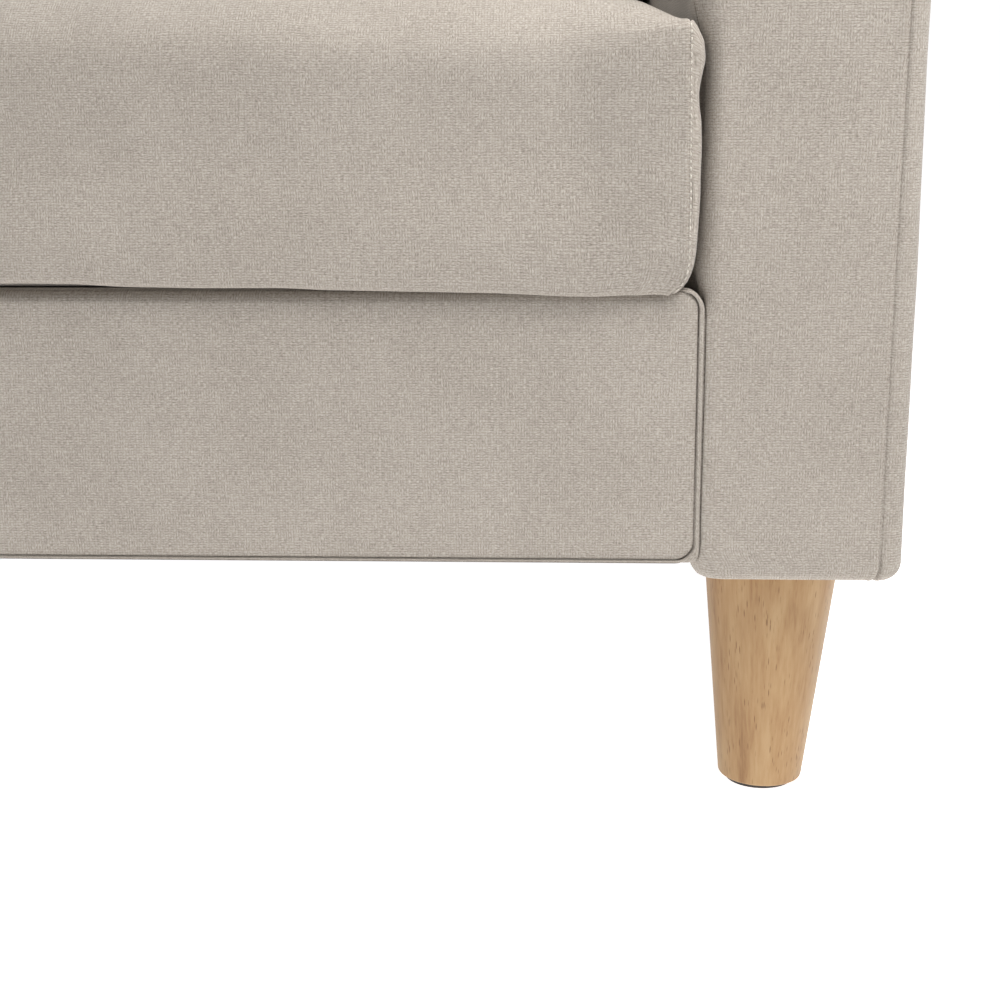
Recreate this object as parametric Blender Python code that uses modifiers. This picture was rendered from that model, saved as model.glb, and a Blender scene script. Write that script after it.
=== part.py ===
"""Two-seat track-arm sofa on tapered wooden legs, built from its separate pieces.

Metres, +Z up. The front of the sofa faces -Y and +X is its right side seen from the front.
The origin is on the floor, under the middle of the sofa.
"""
import math

import bmesh
import bpy
from mathutils import Euler, Matrix, Vector

# ---- Driving dimensions ----
WIDTH = 1.450
DEPTH = 0.800
ARM_WIDTH = 0.114
ARM_BOTTOM = 0.130
ARM_TOP = 0.600
RAIL_BOTTOM = 0.139
DECK_TOP = 0.281
BACK_TOP = 0.798
BACK_THICKNESS = 0.100

SEAT_EDGE_HEIGHT = 0.131
SEAT_CROWN = 0.019
BACK_CUSHION_TOP = 0.840
BACK_CUSHION_THICKNESS = 0.150
BACK_CUSHION_REAR_CROWN = 0.006
BACK_CUSHION_FRONT_CROWN = 0.024
CUSHION_GAP = 0.005

LEG_TOP_RADIUS = 0.0364
LEG_BOTTOM_RADIUS = 0.0233
LEG_LEAN = math.radians(1.3)
LEG_INSET_X = 0.0514
LEG_INSET_Y = 0.050
LEG_TOP_GAP = 0.0012
LEG_EASED_EDGE = 0.0012
GLIDE_RADIUS = 0.019
GLIDE_HEIGHT = 0.0028

BOLT_RADIUS = 0.004
BOLT_HOLE_RADIUS = 0.0043
LEG_BOLT_DEPTH = 0.038
LEG_BOLT_RISE = 0.042
BOLT_HEAD_RADIUS = 0.008
BOLT_HEAD_HEIGHT = 0.005
BOLT_CHAMFER = 0.0016
ARM_BOLT_Y = 0.270
ARM_BOLT_Z = 0.216
ARM_BOLT_TIP = 0.010

# ---- Thicknesses of boards and slabs ----
GAP = 0.0005
TOUCH = 0.0003
SEAT_CLEARANCE = 0.001
FRAME_LIFT = 0.001
RAIL_LIFT = 0.003
FRONT_PAD = 0.018
REAR_PAD = 0.012
OUTER_PAD = 0.013
INNER_PAD = 0.025
TOP_PAD = 0.0245
ARM_BOARD = 0.018
RAIL_BOARD = 0.0255
REAR_CLEARANCE = 0.009
STRETCHER_DROP = 0.030
SIDE_BOARD = 0.022
POST_DEPTH = 0.040
REAR_POST_DEPTH = 0.050
BLOCK_DEPTH = 0.090
BLOCK_HEIGHT = 0.050
BACK_PAD = 0.0295
BACK_POST_WIDTH = 0.040
BACK_RAIL_HEIGHT = 0.060
DECK_PAD = 0.016
WEB_WIDTH = 0.070
WEB_THICKNESS = 0.002
WEBS = 4
DUST_CLOTH = 0.001

# ---- Places worked out from the driving dimensions ----
HALF_WIDTH = WIDTH / 2
ARM_INNER = HALF_WIDTH - ARM_WIDTH
FRONT = -DEPTH / 2
REAR = DEPTH / 2
SEAT_HALF = ARM_INNER - SEAT_CLEARANCE
RAIL_FRONT = FRONT + 0.002
PAD_BACK = FRONT + FRONT_PAD + GAP
REAR_PAD_FRONT = REAR - REAR_PAD
ARM_FRAME_BOTTOM = ARM_BOTTOM + FRAME_LIFT
BOARD_BOTTOM = RAIL_BOTTOM + RAIL_LIFT
BOARD_TOP = DECK_TOP - DECK_PAD - WEB_THICKNESS - 2 * GAP
SEAT_BOX_REAR = REAR_PAD_FRONT - REAR_CLEARANCE
RAIL_BACK = RAIL_FRONT + FRONT_PAD + GAP
BACK_FRONT = REAR - BACK_THICKNESS
SEAT_TOP = DECK_TOP + GAP + SEAT_EDGE_HEIGHT

SIDES = (("left", -1), ("right", 1))
ENDS = (("front", -1), ("rear", 1))

# ---- Eased edges ----
BOARD_EDGE = 0.002
THIN_SLAB_EDGE = 0.005
SLAB_EDGE = 0.007

# ---- Looks: name, colour, roughness, metallic ----
CLOTH = ("beige_cloth", (0.50, 0.45, 0.40), 0.9, 0.0)
LEG_WOOD = ("light_wood", (0.60, 0.42, 0.26), 0.45, 0.0)
FRAME_WOOD = ("frame_wood", (0.55, 0.40, 0.25), 0.7, 0.0)
STEEL = ("zinc_steel", (0.60, 0.60, 0.60), 0.35, 1.0)
GLIDE_PLASTIC = ("dark_plastic", (0.05, 0.05, 0.05), 0.5, 0.0)
WEBBING = ("elastic_webbing", (0.16, 0.15, 0.14), 0.8, 0.0)
DUST = ("black_cambric", (0.02, 0.02, 0.02), 0.9, 0.0)


def clear_scene():
    for thing in list(bpy.data.objects):
        bpy.data.objects.remove(thing, do_unlink=True)


def new_collection(name):
    collection = bpy.data.collections.new(name)
    bpy.context.scene.collection.children.link(collection)
    return collection


def material_for(node, look):
    """Each piece has its own material, with its look's values."""
    colour, roughness, metallic = look[1:]
    material = bpy.data.materials.new(f"{node}_{look[0]}")
    material.use_nodes = True
    shader = material.node_tree.nodes["Principled BSDF"]
    shader.inputs["Base Color"].default_value = (*colour, 1.0)
    shader.inputs["Roughness"].default_value = roughness
    shader.inputs["Metallic"].default_value = metallic
    return material


def add_object(name, bm, look=None):
    mesh = bpy.data.meshes.new(name)
    bm.to_mesh(mesh)
    bm.free()
    thing = bpy.data.objects.new(name, mesh)
    if look:
        mesh.materials.append(material_for(name, look))
        parts.objects.link(thing)
    else:
        thing.hide_render = True
        thing.display_type = "WIRE"
        cutters.objects.link(thing)
    return thing


def block(name, x, y, z, look, edge=0.0, segments=2):
    """A board or slab between two values on each axis, with its edges eased by a bevel."""
    spans = (x, y, z)
    bm = bmesh.new()
    bmesh.ops.create_cube(bm, size=1.0)
    bmesh.ops.scale(bm, vec=Vector([high - low for low, high in spans]), verts=bm.verts)
    thing = add_object(name, bm, look)
    thing.location = [(low + high) / 2 for low, high in spans]
    if edge:
        bevel = thing.modifiers.new("eased_edges", "BEVEL")
        bevel.width = edge
        bevel.segments = segments
    return thing


def mirrored(side, inner, outer):
    """The span between two distances from the middle, on one side of the sofa."""
    return tuple(sorted((side * inner, side * outer)))


def turned(name, profile, look, steps=48):
    """A turned solid: radius and height pairs, ending on the axis, down the outer side."""
    bm = bmesh.new()
    points = [bm.verts.new((radius, 0.0, height)) for radius, height in profile]
    for start, end in zip(points, points[1:]):
        bm.edges.new((start, end))
    thing = add_object(name, bm, look)
    screw = thing.modifiers.new("turn", "SCREW")
    screw.steps = steps
    screw.render_steps = steps
    screw.use_merge_vertices = True
    screw.merge_threshold = 0.00005
    return thing


def drill(thing, name, matrix, radius, depth):
    """A round hole along the matrix's Z axis, as deep either way from its origin."""
    bm = bmesh.new()
    bmesh.ops.create_cone(
        bm, cap_ends=True, segments=24, radius1=radius, radius2=radius, depth=2 * depth)
    cutter = add_object(name, bm)
    cutter.matrix_world = matrix
    hole = thing.modifiers.new(name, "BOOLEAN")
    hole.operation = "DIFFERENCE"
    hole.object = cutter


# ---- Legs ----
def leg_top(side, end):
    """Where a leg's axis meets its top face."""
    x = side * (ARM_INNER + LEG_INSET_X)
    y = end * (DEPTH / 2 - LEG_INSET_Y)
    return Vector((x, y, ARM_BOTTOM - LEG_TOP_GAP))


def leg_matrix(side, end):
    """The leg's axis leans so that its foot stands a little nearer the middle of the sofa."""
    return Matrix.LocRotScale(leg_top(side, end), Euler((0.0, side * LEG_LEAN, 0.0)), None)


def leg_length():
    return (ARM_BOTTOM - LEG_TOP_GAP - GLIDE_HEIGHT - TOUCH) / math.cos(LEG_LEAN)


def make_leg(place, side, end):
    """A tapered leg with eased ends and a blind hole for its bolt."""
    length = leg_length()
    hole = LEG_BOLT_DEPTH + TOUCH
    profile = (
        (0.0, -hole),
        (BOLT_HOLE_RADIUS, -hole),
        (BOLT_HOLE_RADIUS, 0.0),
        (LEG_TOP_RADIUS - LEG_EASED_EDGE, 0.0),
        (LEG_TOP_RADIUS, -LEG_EASED_EDGE),
        (LEG_BOTTOM_RADIUS, -length + LEG_EASED_EDGE),
        (LEG_BOTTOM_RADIUS - LEG_EASED_EDGE, -length),
        (0.0, -length),
    )
    leg = turned(f"leg_{place}", profile, LEG_WOOD)
    leg.matrix_world = leg_matrix(side, end)


def make_leg_bolt(place, side, end):
    """A hanger bolt, screwed half into the leg and half into the corner block."""
    profile = (
        (0.0, LEG_BOLT_RISE),
        (BOLT_RADIUS - BOLT_CHAMFER, LEG_BOLT_RISE),
        (BOLT_RADIUS, LEG_BOLT_RISE - BOLT_CHAMFER),
        (BOLT_RADIUS, BOLT_CHAMFER - LEG_BOLT_DEPTH),
        (BOLT_RADIUS - BOLT_CHAMFER, -LEG_BOLT_DEPTH),
        (0.0, -LEG_BOLT_DEPTH),
    )
    bolt = turned(f"leg_bolt_{place}", profile, STEEL, steps=16)
    bolt.matrix_world = leg_matrix(side, end)


def make_glide(place, side, end):
    """A disc that is level underneath and follows the leaning foot on top."""
    bm = bmesh.new()
    bmesh.ops.create_cone(
        bm, cap_ends=True, segments=48, radius1=GLIDE_RADIUS, radius2=GLIDE_RADIUS,
        depth=GLIDE_HEIGHT)
    slope = side * math.tan(LEG_LEAN)
    for vert in bm.verts:
        if vert.co.z > 0:
            vert.co.z -= slope * vert.co.x
    glide = add_object(f"foot_glide_{place}", bm, GLIDE_PLASTIC)
    foot = leg_matrix(side, end) @ Vector((0.0, 0.0, -leg_length()))
    glide.location = (foot.x, foot.y, GLIDE_HEIGHT / 2)


def make_corner_block(place, side, end):
    """The wood block over a leg, between the arm's two faces, drilled for the leg's bolt."""
    outer_end = -PAD_BACK if end < 0 else REAR_PAD_FRONT - GAP
    corner = block(
        f"corner_block_{place}",
        mirrored(side, ARM_INNER + INNER_PAD + 2 * GAP, HALF_WIDTH - OUTER_PAD - GAP),
        mirrored(end, outer_end - BLOCK_DEPTH, outer_end),
        (ARM_FRAME_BOTTOM, ARM_FRAME_BOTTOM + BLOCK_HEIGHT),
        FRAME_WOOD, edge=BOARD_EDGE, segments=1)
    drill(corner, f"leg_bolt_hole_{place}", leg_matrix(side, end),
          BOLT_HOLE_RADIUS, LEG_BOLT_RISE + TOUCH)


def make_legs():
    for side_name, side in SIDES:
        for end_name, end in ENDS:
            place = f"{end_name}_{side_name}"
            make_leg(place, side, end)
            make_leg_bolt(place, side, end)
            make_glide(place, side, end)
            make_corner_block(place, side, end)


# ---- Arms ----
def make_arm_frame(name, side):
    """Two posts, a top board and the bottom rail that the seat box bolts to."""
    across = mirrored(side, ARM_INNER + INNER_PAD + 2 * GAP, HALF_WIDTH - OUTER_PAD - GAP)
    post_bottom = ARM_FRAME_BOTTOM + BLOCK_HEIGHT + GAP
    board_top = ARM_TOP - TOP_PAD - GAP
    post_top = board_top - ARM_BOARD - GAP
    rear = REAR_PAD_FRONT - GAP
    block(f"{name}_front_post", across, (PAD_BACK, PAD_BACK + POST_DEPTH),
          (post_bottom, post_top), FRAME_WOOD, edge=BOARD_EDGE, segments=1)
    block(f"{name}_rear_post", across, (rear - REAR_POST_DEPTH, rear),
          (post_bottom, post_top), FRAME_WOOD, edge=BOARD_EDGE, segments=1)
    block(f"{name}_top_board", across, (PAD_BACK, rear),
          (post_top + GAP, board_top), FRAME_WOOD, edge=BOARD_EDGE, segments=1)
    rail = block(f"{name}_bottom_rail",
                 mirrored(side, ARM_INNER + GAP, ARM_INNER + INNER_PAD + GAP),
                 (PAD_BACK, rear), (ARM_FRAME_BOTTOM, DECK_TOP), FRAME_WOOD)
    drill_for_arm_bolts(rail, side)


def make_arm_pads(name, side):
    """Foam slabs under one sewn cover: front, rear, outer, inner and top."""
    full = mirrored(side, ARM_INNER, HALF_WIDTH)
    rear = REAR_PAD_FRONT - GAP
    under_top = ARM_TOP - TOP_PAD - GAP
    block(f"{name}_front_pad", full, (FRONT, FRONT + FRONT_PAD), (ARM_BOTTOM, ARM_TOP),
          CLOTH, edge=SLAB_EDGE)
    block(f"{name}_rear_pad", full, (REAR_PAD_FRONT, REAR), (ARM_BOTTOM, ARM_TOP),
          CLOTH, edge=THIN_SLAB_EDGE)
    block(f"{name}_outer_pad", mirrored(side, HALF_WIDTH - OUTER_PAD, HALF_WIDTH),
          (PAD_BACK, rear), (ARM_BOTTOM, under_top), CLOTH, edge=THIN_SLAB_EDGE)
    block(f"{name}_inner_pad", mirrored(side, ARM_INNER, ARM_INNER + INNER_PAD),
          (PAD_BACK, rear), (DECK_TOP + GAP, under_top), CLOTH, edge=SLAB_EDGE)
    block(f"{name}_top_pad", full, (PAD_BACK, rear), (ARM_TOP - TOP_PAD, ARM_TOP),
          CLOTH, edge=SLAB_EDGE)


def arm_bolt_matrix(side, end):
    """Along the bolt, from its head in the seat box towards the arm."""
    head = Vector((side * (SEAT_HALF - SIDE_BOARD - TOUCH), end * ARM_BOLT_Y, ARM_BOLT_Z))
    return Matrix.LocRotScale(head, Euler((0.0, side * math.pi / 2, 0.0)), None)


def arm_bolt_length():
    return SIDE_BOARD + SEAT_CLEARANCE + INNER_PAD + ARM_BOLT_TIP


def drill_for_arm_bolts(board, side):
    for end_name, end in ENDS:
        drill(board, f"{board.name}_{end_name}_bolt_hole", arm_bolt_matrix(side, end),
              BOLT_HOLE_RADIUS, arm_bolt_length())


def make_arm_bolt(name, side, end):
    """A flat-headed bolt; its axis is the turned profile's own axis."""
    length = arm_bolt_length()
    profile = (
        (0.0, length),
        (BOLT_RADIUS, length),
        (BOLT_RADIUS, 0.0),
        (BOLT_HEAD_RADIUS, 0.0),
        (BOLT_HEAD_RADIUS, -BOLT_HEAD_HEIGHT),
        (0.0, -BOLT_HEAD_HEIGHT),
    )
    bolt = turned(name, profile, STEEL, steps=16)
    bolt.matrix_world = arm_bolt_matrix(side, end)


def make_arms():
    for side_name, side in SIDES:
        make_arm_frame(f"{side_name}_arm", side)
        make_arm_pads(f"{side_name}_arm", side)
        for end_name, end in ENDS:
            make_arm_bolt(f"arm_bolt_{end_name}_{side_name}", side, end)


# ---- Seat ----
def make_seat_box():
    """Front and rear rails, side rails that carry the arm bolts, and a centre stretcher."""
    across = (-SEAT_HALF, SEAT_HALF)
    height = (BOARD_BOTTOM, BOARD_TOP)
    inside = (RAIL_BACK + RAIL_BOARD + GAP, SEAT_BOX_REAR - RAIL_BOARD - GAP)
    block("front_seat_rail", across, (RAIL_BACK, RAIL_BACK + RAIL_BOARD), height,
          FRAME_WOOD, edge=BOARD_EDGE, segments=1)
    block("rear_seat_rail", across, (SEAT_BOX_REAR - RAIL_BOARD, SEAT_BOX_REAR), height,
          FRAME_WOOD, edge=BOARD_EDGE, segments=1)
    for side_name, side in SIDES:
        rail = block(f"seat_side_rail_{side_name}",
                     mirrored(side, SEAT_HALF - SIDE_BOARD, SEAT_HALF), inside, height,
                     FRAME_WOOD)
        drill_for_arm_bolts(rail, side)
    block("seat_centre_stretcher", (-SIDE_BOARD / 2, SIDE_BOARD / 2), inside,
          (BOARD_BOTTOM, BOARD_TOP - STRETCHER_DROP), FRAME_WOOD, edge=BOARD_EDGE, segments=1)


def make_webbing():
    """Straps stretched over the rails, evenly spaced, two under each seat."""
    pitch = 2 * SEAT_HALF / WEBS
    bottom = BOARD_TOP + GAP
    for index in range(WEBS):
        centre = (index + 0.5) * pitch - SEAT_HALF
        block(f"seat_web_{index + 1}", (centre - WEB_WIDTH / 2, centre + WEB_WIDTH / 2),
              (RAIL_BACK, SEAT_BOX_REAR), (bottom, bottom + WEB_THICKNESS), WEBBING)


def make_seat_covers():
    """The rail's upholstered face, the deck that the cushions lie on, and the dust cover."""
    across = (-SEAT_HALF, SEAT_HALF)
    block("front_rail_pad", across, (RAIL_FRONT, RAIL_FRONT + FRONT_PAD),
          (RAIL_BOTTOM, DECK_TOP), CLOTH, edge=THIN_SLAB_EDGE)
    block("deck_pad", across, (RAIL_BACK, BACK_FRONT - GAP), (DECK_TOP - DECK_PAD, DECK_TOP),
          CLOTH, edge=THIN_SLAB_EDGE)
    dust_top = BOARD_BOTTOM - TOUCH
    block("dust_cover", across, (RAIL_BACK, REAR_PAD_FRONT - GAP),
          (dust_top - DUST_CLOTH, dust_top), DUST)


# ---- Back ----
def make_back():
    """Two posts and a top rail, with a front slab, a top slab and the rear panel over them."""
    across = (-SEAT_HALF, SEAT_HALF)
    slab_back = BACK_FRONT + BACK_PAD
    frame = (slab_back + GAP, REAR_PAD_FRONT - GAP)
    frame_top = BACK_TOP - TOP_PAD - GAP
    post_bottom = BOARD_TOP + GAP
    for side_name, side in SIDES:
        block(f"back_post_{side_name}", mirrored(side, SEAT_HALF - BACK_POST_WIDTH, SEAT_HALF),
              frame, (post_bottom, frame_top), FRAME_WOOD, edge=BOARD_EDGE, segments=1)
    rail_half = SEAT_HALF - BACK_POST_WIDTH - GAP
    block("back_top_rail", (-rail_half, rail_half), frame,
          (frame_top - BACK_RAIL_HEIGHT, frame_top), FRAME_WOOD, edge=BOARD_EDGE, segments=1)
    block("back_front_pad", across, (BACK_FRONT, slab_back),
          (DECK_TOP - DECK_PAD, frame_top), CLOTH, edge=SLAB_EDGE)
    block("back_top_pad", across, (BACK_FRONT, REAR_PAD_FRONT - GAP),
          (BACK_TOP - TOP_PAD, BACK_TOP), CLOTH, edge=SLAB_EDGE)
    block("back_rear_panel", across, (REAR_PAD_FRONT, REAR), (RAIL_BOTTOM, BACK_TOP),
          CLOTH, edge=THIN_SLAB_EDGE)


# ---- Loose cushions ----
def make_cushion(name, x, y, z, thin_axis, crown, edge):
    """A boxed cushion whose two large faces are domed, apart from a face it rests on."""
    spans = (x, y, z)
    size = Vector([high - low for low, high in spans])
    bm = bmesh.new()
    bmesh.ops.create_cube(bm, size=1.0)
    bmesh.ops.subdivide_edges(bm, edges=bm.edges, cuts=6, use_grid_fill=True)
    wide = [axis for axis in range(3) if axis != thin_axis]
    for vert in bm.verts:
        dome = math.prod(1.0 - (2.0 * vert.co[axis]) ** 2 for axis in wide)
        lift = crown[0] if vert.co[thin_axis] > 0 else -crown[1]
        reach = abs(2.0 * vert.co[thin_axis])
        vert.co = Vector([part * length for part, length in zip(vert.co, size)])
        vert.co[thin_axis] += lift * dome * reach
    cushion = add_object(name, bm, CLOTH)
    cushion.location = [(low + high) / 2 for low, high in spans]
    bevel = cushion.modifiers.new("soft_edges", "BEVEL")
    bevel.width = edge
    bevel.segments = 3
    bevel.limit_method = "ANGLE"
    bevel.angle_limit = math.radians(50)


def make_cushions():
    """Two seat cushions lying on the deck, and two back cushions standing on them."""
    top = SEAT_TOP + SEAT_CROWN
    back_rear = BACK_FRONT - CUSHION_GAP - BACK_CUSHION_REAR_CROWN
    for side_name, side in SIDES:
        across = mirrored(side, CUSHION_GAP / 2, ARM_INNER - CUSHION_GAP)
        make_cushion(f"seat_cushion_{side_name}", across,
                     (FRONT + 0.002, BACK_FRONT - CUSHION_GAP), (DECK_TOP + GAP, SEAT_TOP),
                     2, (SEAT_CROWN, 0.0), 0.012)
        make_cushion(f"back_cushion_{side_name}", across,
                     (back_rear - BACK_CUSHION_THICKNESS, back_rear),
                     (top + 3 * GAP, BACK_CUSHION_TOP),
                     1, (BACK_CUSHION_REAR_CROWN, BACK_CUSHION_FRONT_CROWN), 0.020)


clear_scene()
parts = new_collection("sofa")
cutters = new_collection("cutters")
make_legs()
make_arms()
make_seat_box()
make_webbing()
make_seat_covers()
make_back()
make_cushions()
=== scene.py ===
"""The looks of a two-seat track-arm sofa on tapered wooden legs: covers, cushions, seams, wood and light.

Metres, +Z up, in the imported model's frame. The front faces -Y and +X is the right side seen from the front.
Cloth is made of grids of points that share their edges. Each grid keeps its own cloth coordinates, in
metres along the threads, so the weave has the same scale on every piece and bends with the cloth.
"""
import math

import bmesh
import bpy
import numpy as np
from mathutils import Matrix, Vector


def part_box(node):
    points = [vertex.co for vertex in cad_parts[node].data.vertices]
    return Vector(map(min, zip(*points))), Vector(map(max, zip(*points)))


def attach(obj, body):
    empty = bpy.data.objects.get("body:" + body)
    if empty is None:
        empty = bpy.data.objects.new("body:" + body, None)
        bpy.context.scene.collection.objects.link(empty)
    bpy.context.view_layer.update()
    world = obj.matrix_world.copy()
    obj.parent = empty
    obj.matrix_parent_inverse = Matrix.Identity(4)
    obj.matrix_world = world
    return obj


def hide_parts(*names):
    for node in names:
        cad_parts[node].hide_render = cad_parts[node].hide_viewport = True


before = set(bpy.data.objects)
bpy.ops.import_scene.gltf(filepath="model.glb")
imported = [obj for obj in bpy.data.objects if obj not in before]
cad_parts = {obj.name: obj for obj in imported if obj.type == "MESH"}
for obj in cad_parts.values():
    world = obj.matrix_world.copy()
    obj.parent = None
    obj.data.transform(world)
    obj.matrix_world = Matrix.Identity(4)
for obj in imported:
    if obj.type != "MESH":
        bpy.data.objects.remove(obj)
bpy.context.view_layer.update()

SIDES = (("left", -1), ("right", 1))
BASE_BODY = "sofa_frame"
MM = 0.001

# ---- Places read from the frame ----
ARM_LOW, ARM_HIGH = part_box("right_arm_front_pad")
DEPTH_FRONT = ARM_LOW.y
DEPTH_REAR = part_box("right_arm_rear_pad")[1].y
RAIL_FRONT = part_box("front_rail_pad")[0].y
DECK_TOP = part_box("deck_pad")[1].z
BACK_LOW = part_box("back_front_pad")[0]
BACK_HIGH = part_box("back_rear_panel")[1]
PANEL_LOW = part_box("back_rear_panel")[0]

# ---- Weave ----
THREAD = 1.42 * MM


# =====================================================================================
# Grids of points
# =====================================================================================
def graded(length, fine, coarse, growth=1.35):
    """Fractions between 0 and 1 along a run: closely spaced at both ends and wider in the middle."""
    steps = [fine]
    while steps[-1] * growth < coarse and sum(steps) * 2 < length * 0.8:
        steps.append(steps[-1] * growth)
    head = np.cumsum(steps)
    middle = max(2, round((length - 2 * head[-1]) / coarse))
    inner = np.linspace(head[-1], length - head[-1], middle + 1)
    return np.concatenate([head[:-1], inner, (length - head[:-1])[::-1]]) / length


def even_turn(steps):
    return np.linspace(0.0, 90.0, steps + 1)


def corner_arc(centre, radius, start, turn):
    angles = np.radians(start + turn)
    return np.stack([centre[0] + radius * np.cos(angles), centre[1] + radius * np.sin(angles)], 1)


def rounded_rectangle(low, high, radii, across, along, turns):
    """Four sides, anticlockwise from the low corner, each from the middle of one corner to the next.

    across and along are fractions of the straight runs, which give the points between the corners.
    turns gives the angles of the points round each corner; 45 degrees is always one of them.
    """
    (x0, y0), (x1, y1) = low, high
    a, b, c, d = radii
    centres = ((x0 + a, y0 + a), (x1 - b, y0 + b), (x1 - c, y1 - c), (x0 + d, y1 - d))
    arcs = [corner_arc(centre, radius, 180 + 90 * k, turn)
            for k, (centre, radius, turn) in enumerate(zip(centres, radii, turns))]
    halves = [int(np.argmin(np.abs(turn - 45))) for turn in turns]
    runs = (across, along, 1 - across[::-1], 1 - along[::-1])
    sides = []
    for k in range(4):
        following = (k + 1) % 4
        start, end = arcs[k][halves[k]:], arcs[following][:halves[following] + 1]
        straight = start[-1] + runs[k][:, None] * (end[0] - start[-1])
        sides.append(np.concatenate([start, straight, end]))
    return sides


def loop_of(sides):
    """The sides as one closed ring whose last point repeats the first."""
    return np.concatenate([side[:-1] for side in sides] + [sides[0][:1]])


def run_length(points):
    """Distance along a line of points, from 0."""
    steps = np.linalg.norm(np.diff(points, axis=0), axis=1)
    return np.concatenate([[0.0], np.cumsum(steps)])


def share(points):
    length = run_length(points)
    return length / length[-1]


def coons(bottom, right, top, left, s=None, t=None):
    """A grid between four sides that go round anticlockwise; rows run with the right side."""
    s = share(bottom) if s is None else s
    t = share(right) if t is None else t
    s, t = s[None, :, None], t[:, None, None]
    top, left = top[::-1], left[::-1]
    ruled = (1 - t) * bottom[None] + t * top[None] + (1 - s) * left[:, None] + s * right[:, None]
    corners = ((1 - s) * (1 - t) * bottom[0] + s * (1 - t) * bottom[-1]
               + (1 - s) * t * top[0] + s * t * top[-1])
    return ruled - corners


def level(points, height):
    """Plan points with a height, or one height for each point."""
    return np.concatenate([points, np.broadcast_to(height, points.shape[:-1])[..., None]], -1)


def smooth(value):
    value = np.clip(value, 0.0, 1.0)
    return value * value * (3 - 2 * value)


def unevenness(points, seed, shortest, longest, waves=16):
    """A smooth uneven field, mostly between -1 and 1: waves of mixed length and direction."""
    draw = np.random.default_rng(seed)
    total = np.zeros(points.shape[:-1])
    for _ in range(waves):
        direction = draw.normal(size=3)
        direction /= np.linalg.norm(direction)
        wave = math.exp(draw.uniform(math.log(shortest), math.log(longest)))
        total += np.sin(points @ direction * (2 * math.pi / wave) + draw.uniform(0, 2 * math.pi))
    return total * math.sqrt(2 / waves) / 1.6


def table(rows, at, column=1):
    """A value between the rows of a short table in millimetres."""
    rows = np.array(rows) * MM
    return np.interp(at, rows[:, 0], rows[:, column])


class Skin:
    """Grids of points that become one welded mesh with cloth coordinates."""

    def __init__(self):
        self.grids = []

    def add(self, points, cloth, push=None, flip=False):
        """points (rows, columns, 3), cloth (rows, columns, 2), push outwards (rows, columns)."""
        push = np.zeros(points.shape[:2]) if push is None else push
        self.grids.append([points, cloth, push, flip])

    def weld(self):
        """(points, push, quads, quad cloth coordinates), with shared edges joined."""
        flat = np.concatenate([grid[0].reshape(-1, 3) for grid in self.grids])
        push = np.concatenate([grid[2].ravel() for grid in self.grids])
        keys = np.round(flat / (0.002 * MM)).astype(np.int64)
        _, first, index = np.unique(keys, axis=0, return_index=True, return_inverse=True)
        index = index.ravel()
        quads, cloth, start = [], [], 0
        for points, coordinates, _, flip in self.grids:
            rows, columns = points.shape[:2]
            place = np.arange(rows * columns).reshape(rows, columns)
            corners = [place[:-1, :-1], place[:-1, 1:], place[1:, 1:], place[1:, :-1]]
            around = np.stack([c.ravel() for c in (corners[::-1] if flip else corners)], 1)
            cloth.append(coordinates.reshape(-1, 2)[around])
            quads.append(index[start + around])
            start += rows * columns
        self.index = index
        return flat[first], push[first], np.concatenate(quads), np.concatenate(cloth)

    def build(self, name, mirror=False, extra=None):
        """The finished mesh object. extra(points, normals) gives a further outward push."""
        points, push, quads, cloth = self.weld()
        away = vertex_normals(points, quads)
        if extra is not None:
            push = push + extra(points, away)
        points = points + away * push[:, None]
        if mirror:
            points = points * np.array([-1.0, 1.0, 1.0])
            quads, cloth = quads[:, ::-1], cloth[:, ::-1]
        return quad_mesh(name, points, quads, cloth)


def vertex_normals(points, quads):
    a, b, c, d = (points[quads[:, k]] for k in range(4))
    face = np.cross(c - a, d - b)
    total = np.zeros_like(points)
    for k in range(4):
        np.add.at(total, quads[:, k], face)
    return total / np.maximum(np.linalg.norm(total, axis=1), 1e-12)[:, None]


def quad_mesh(name, points, quads, cloth):
    mesh = bpy.data.meshes.new(name)
    mesh.vertices.add(len(points))
    mesh.vertices.foreach_set("co", points.astype(np.float32).ravel())
    mesh.loops.add(quads.size)
    mesh.loops.foreach_set("vertex_index", quads.astype(np.int32).ravel())
    mesh.polygons.add(len(quads))
    mesh.polygons.foreach_set("loop_start", np.arange(0, quads.size, 4, dtype=np.int32))
    mesh.update(calc_edges=True)
    layer = mesh.uv_layers.new(name="weave")
    layer.data.foreach_set("uv", cloth.astype(np.float32).ravel())
    mesh.validate()
    return link_mesh(mesh)


def link_mesh(mesh):
    """A smooth-shaded object of the mesh, in the scene."""
    mesh.polygons.foreach_set("use_smooth", np.ones(len(mesh.polygons), bool))
    thing = bpy.data.objects.new(mesh.name, mesh)
    bpy.context.scene.collection.objects.link(thing)
    return thing


def thicken(thing, thickness=1.4 * MM):
    """Gives an open cover the thickness of its cloth, inwards."""
    solid = thing.modifiers.new("cloth_thickness", "SOLIDIFY")
    solid.thickness = thickness
    solid.offset = -1.0
    return thing


def finish_piece(thing, material, body=BASE_BODY, nodes=()):
    thing.data.materials.append(material)
    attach(thing, body)
    if nodes:
        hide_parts(*nodes)
    return thing


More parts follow.
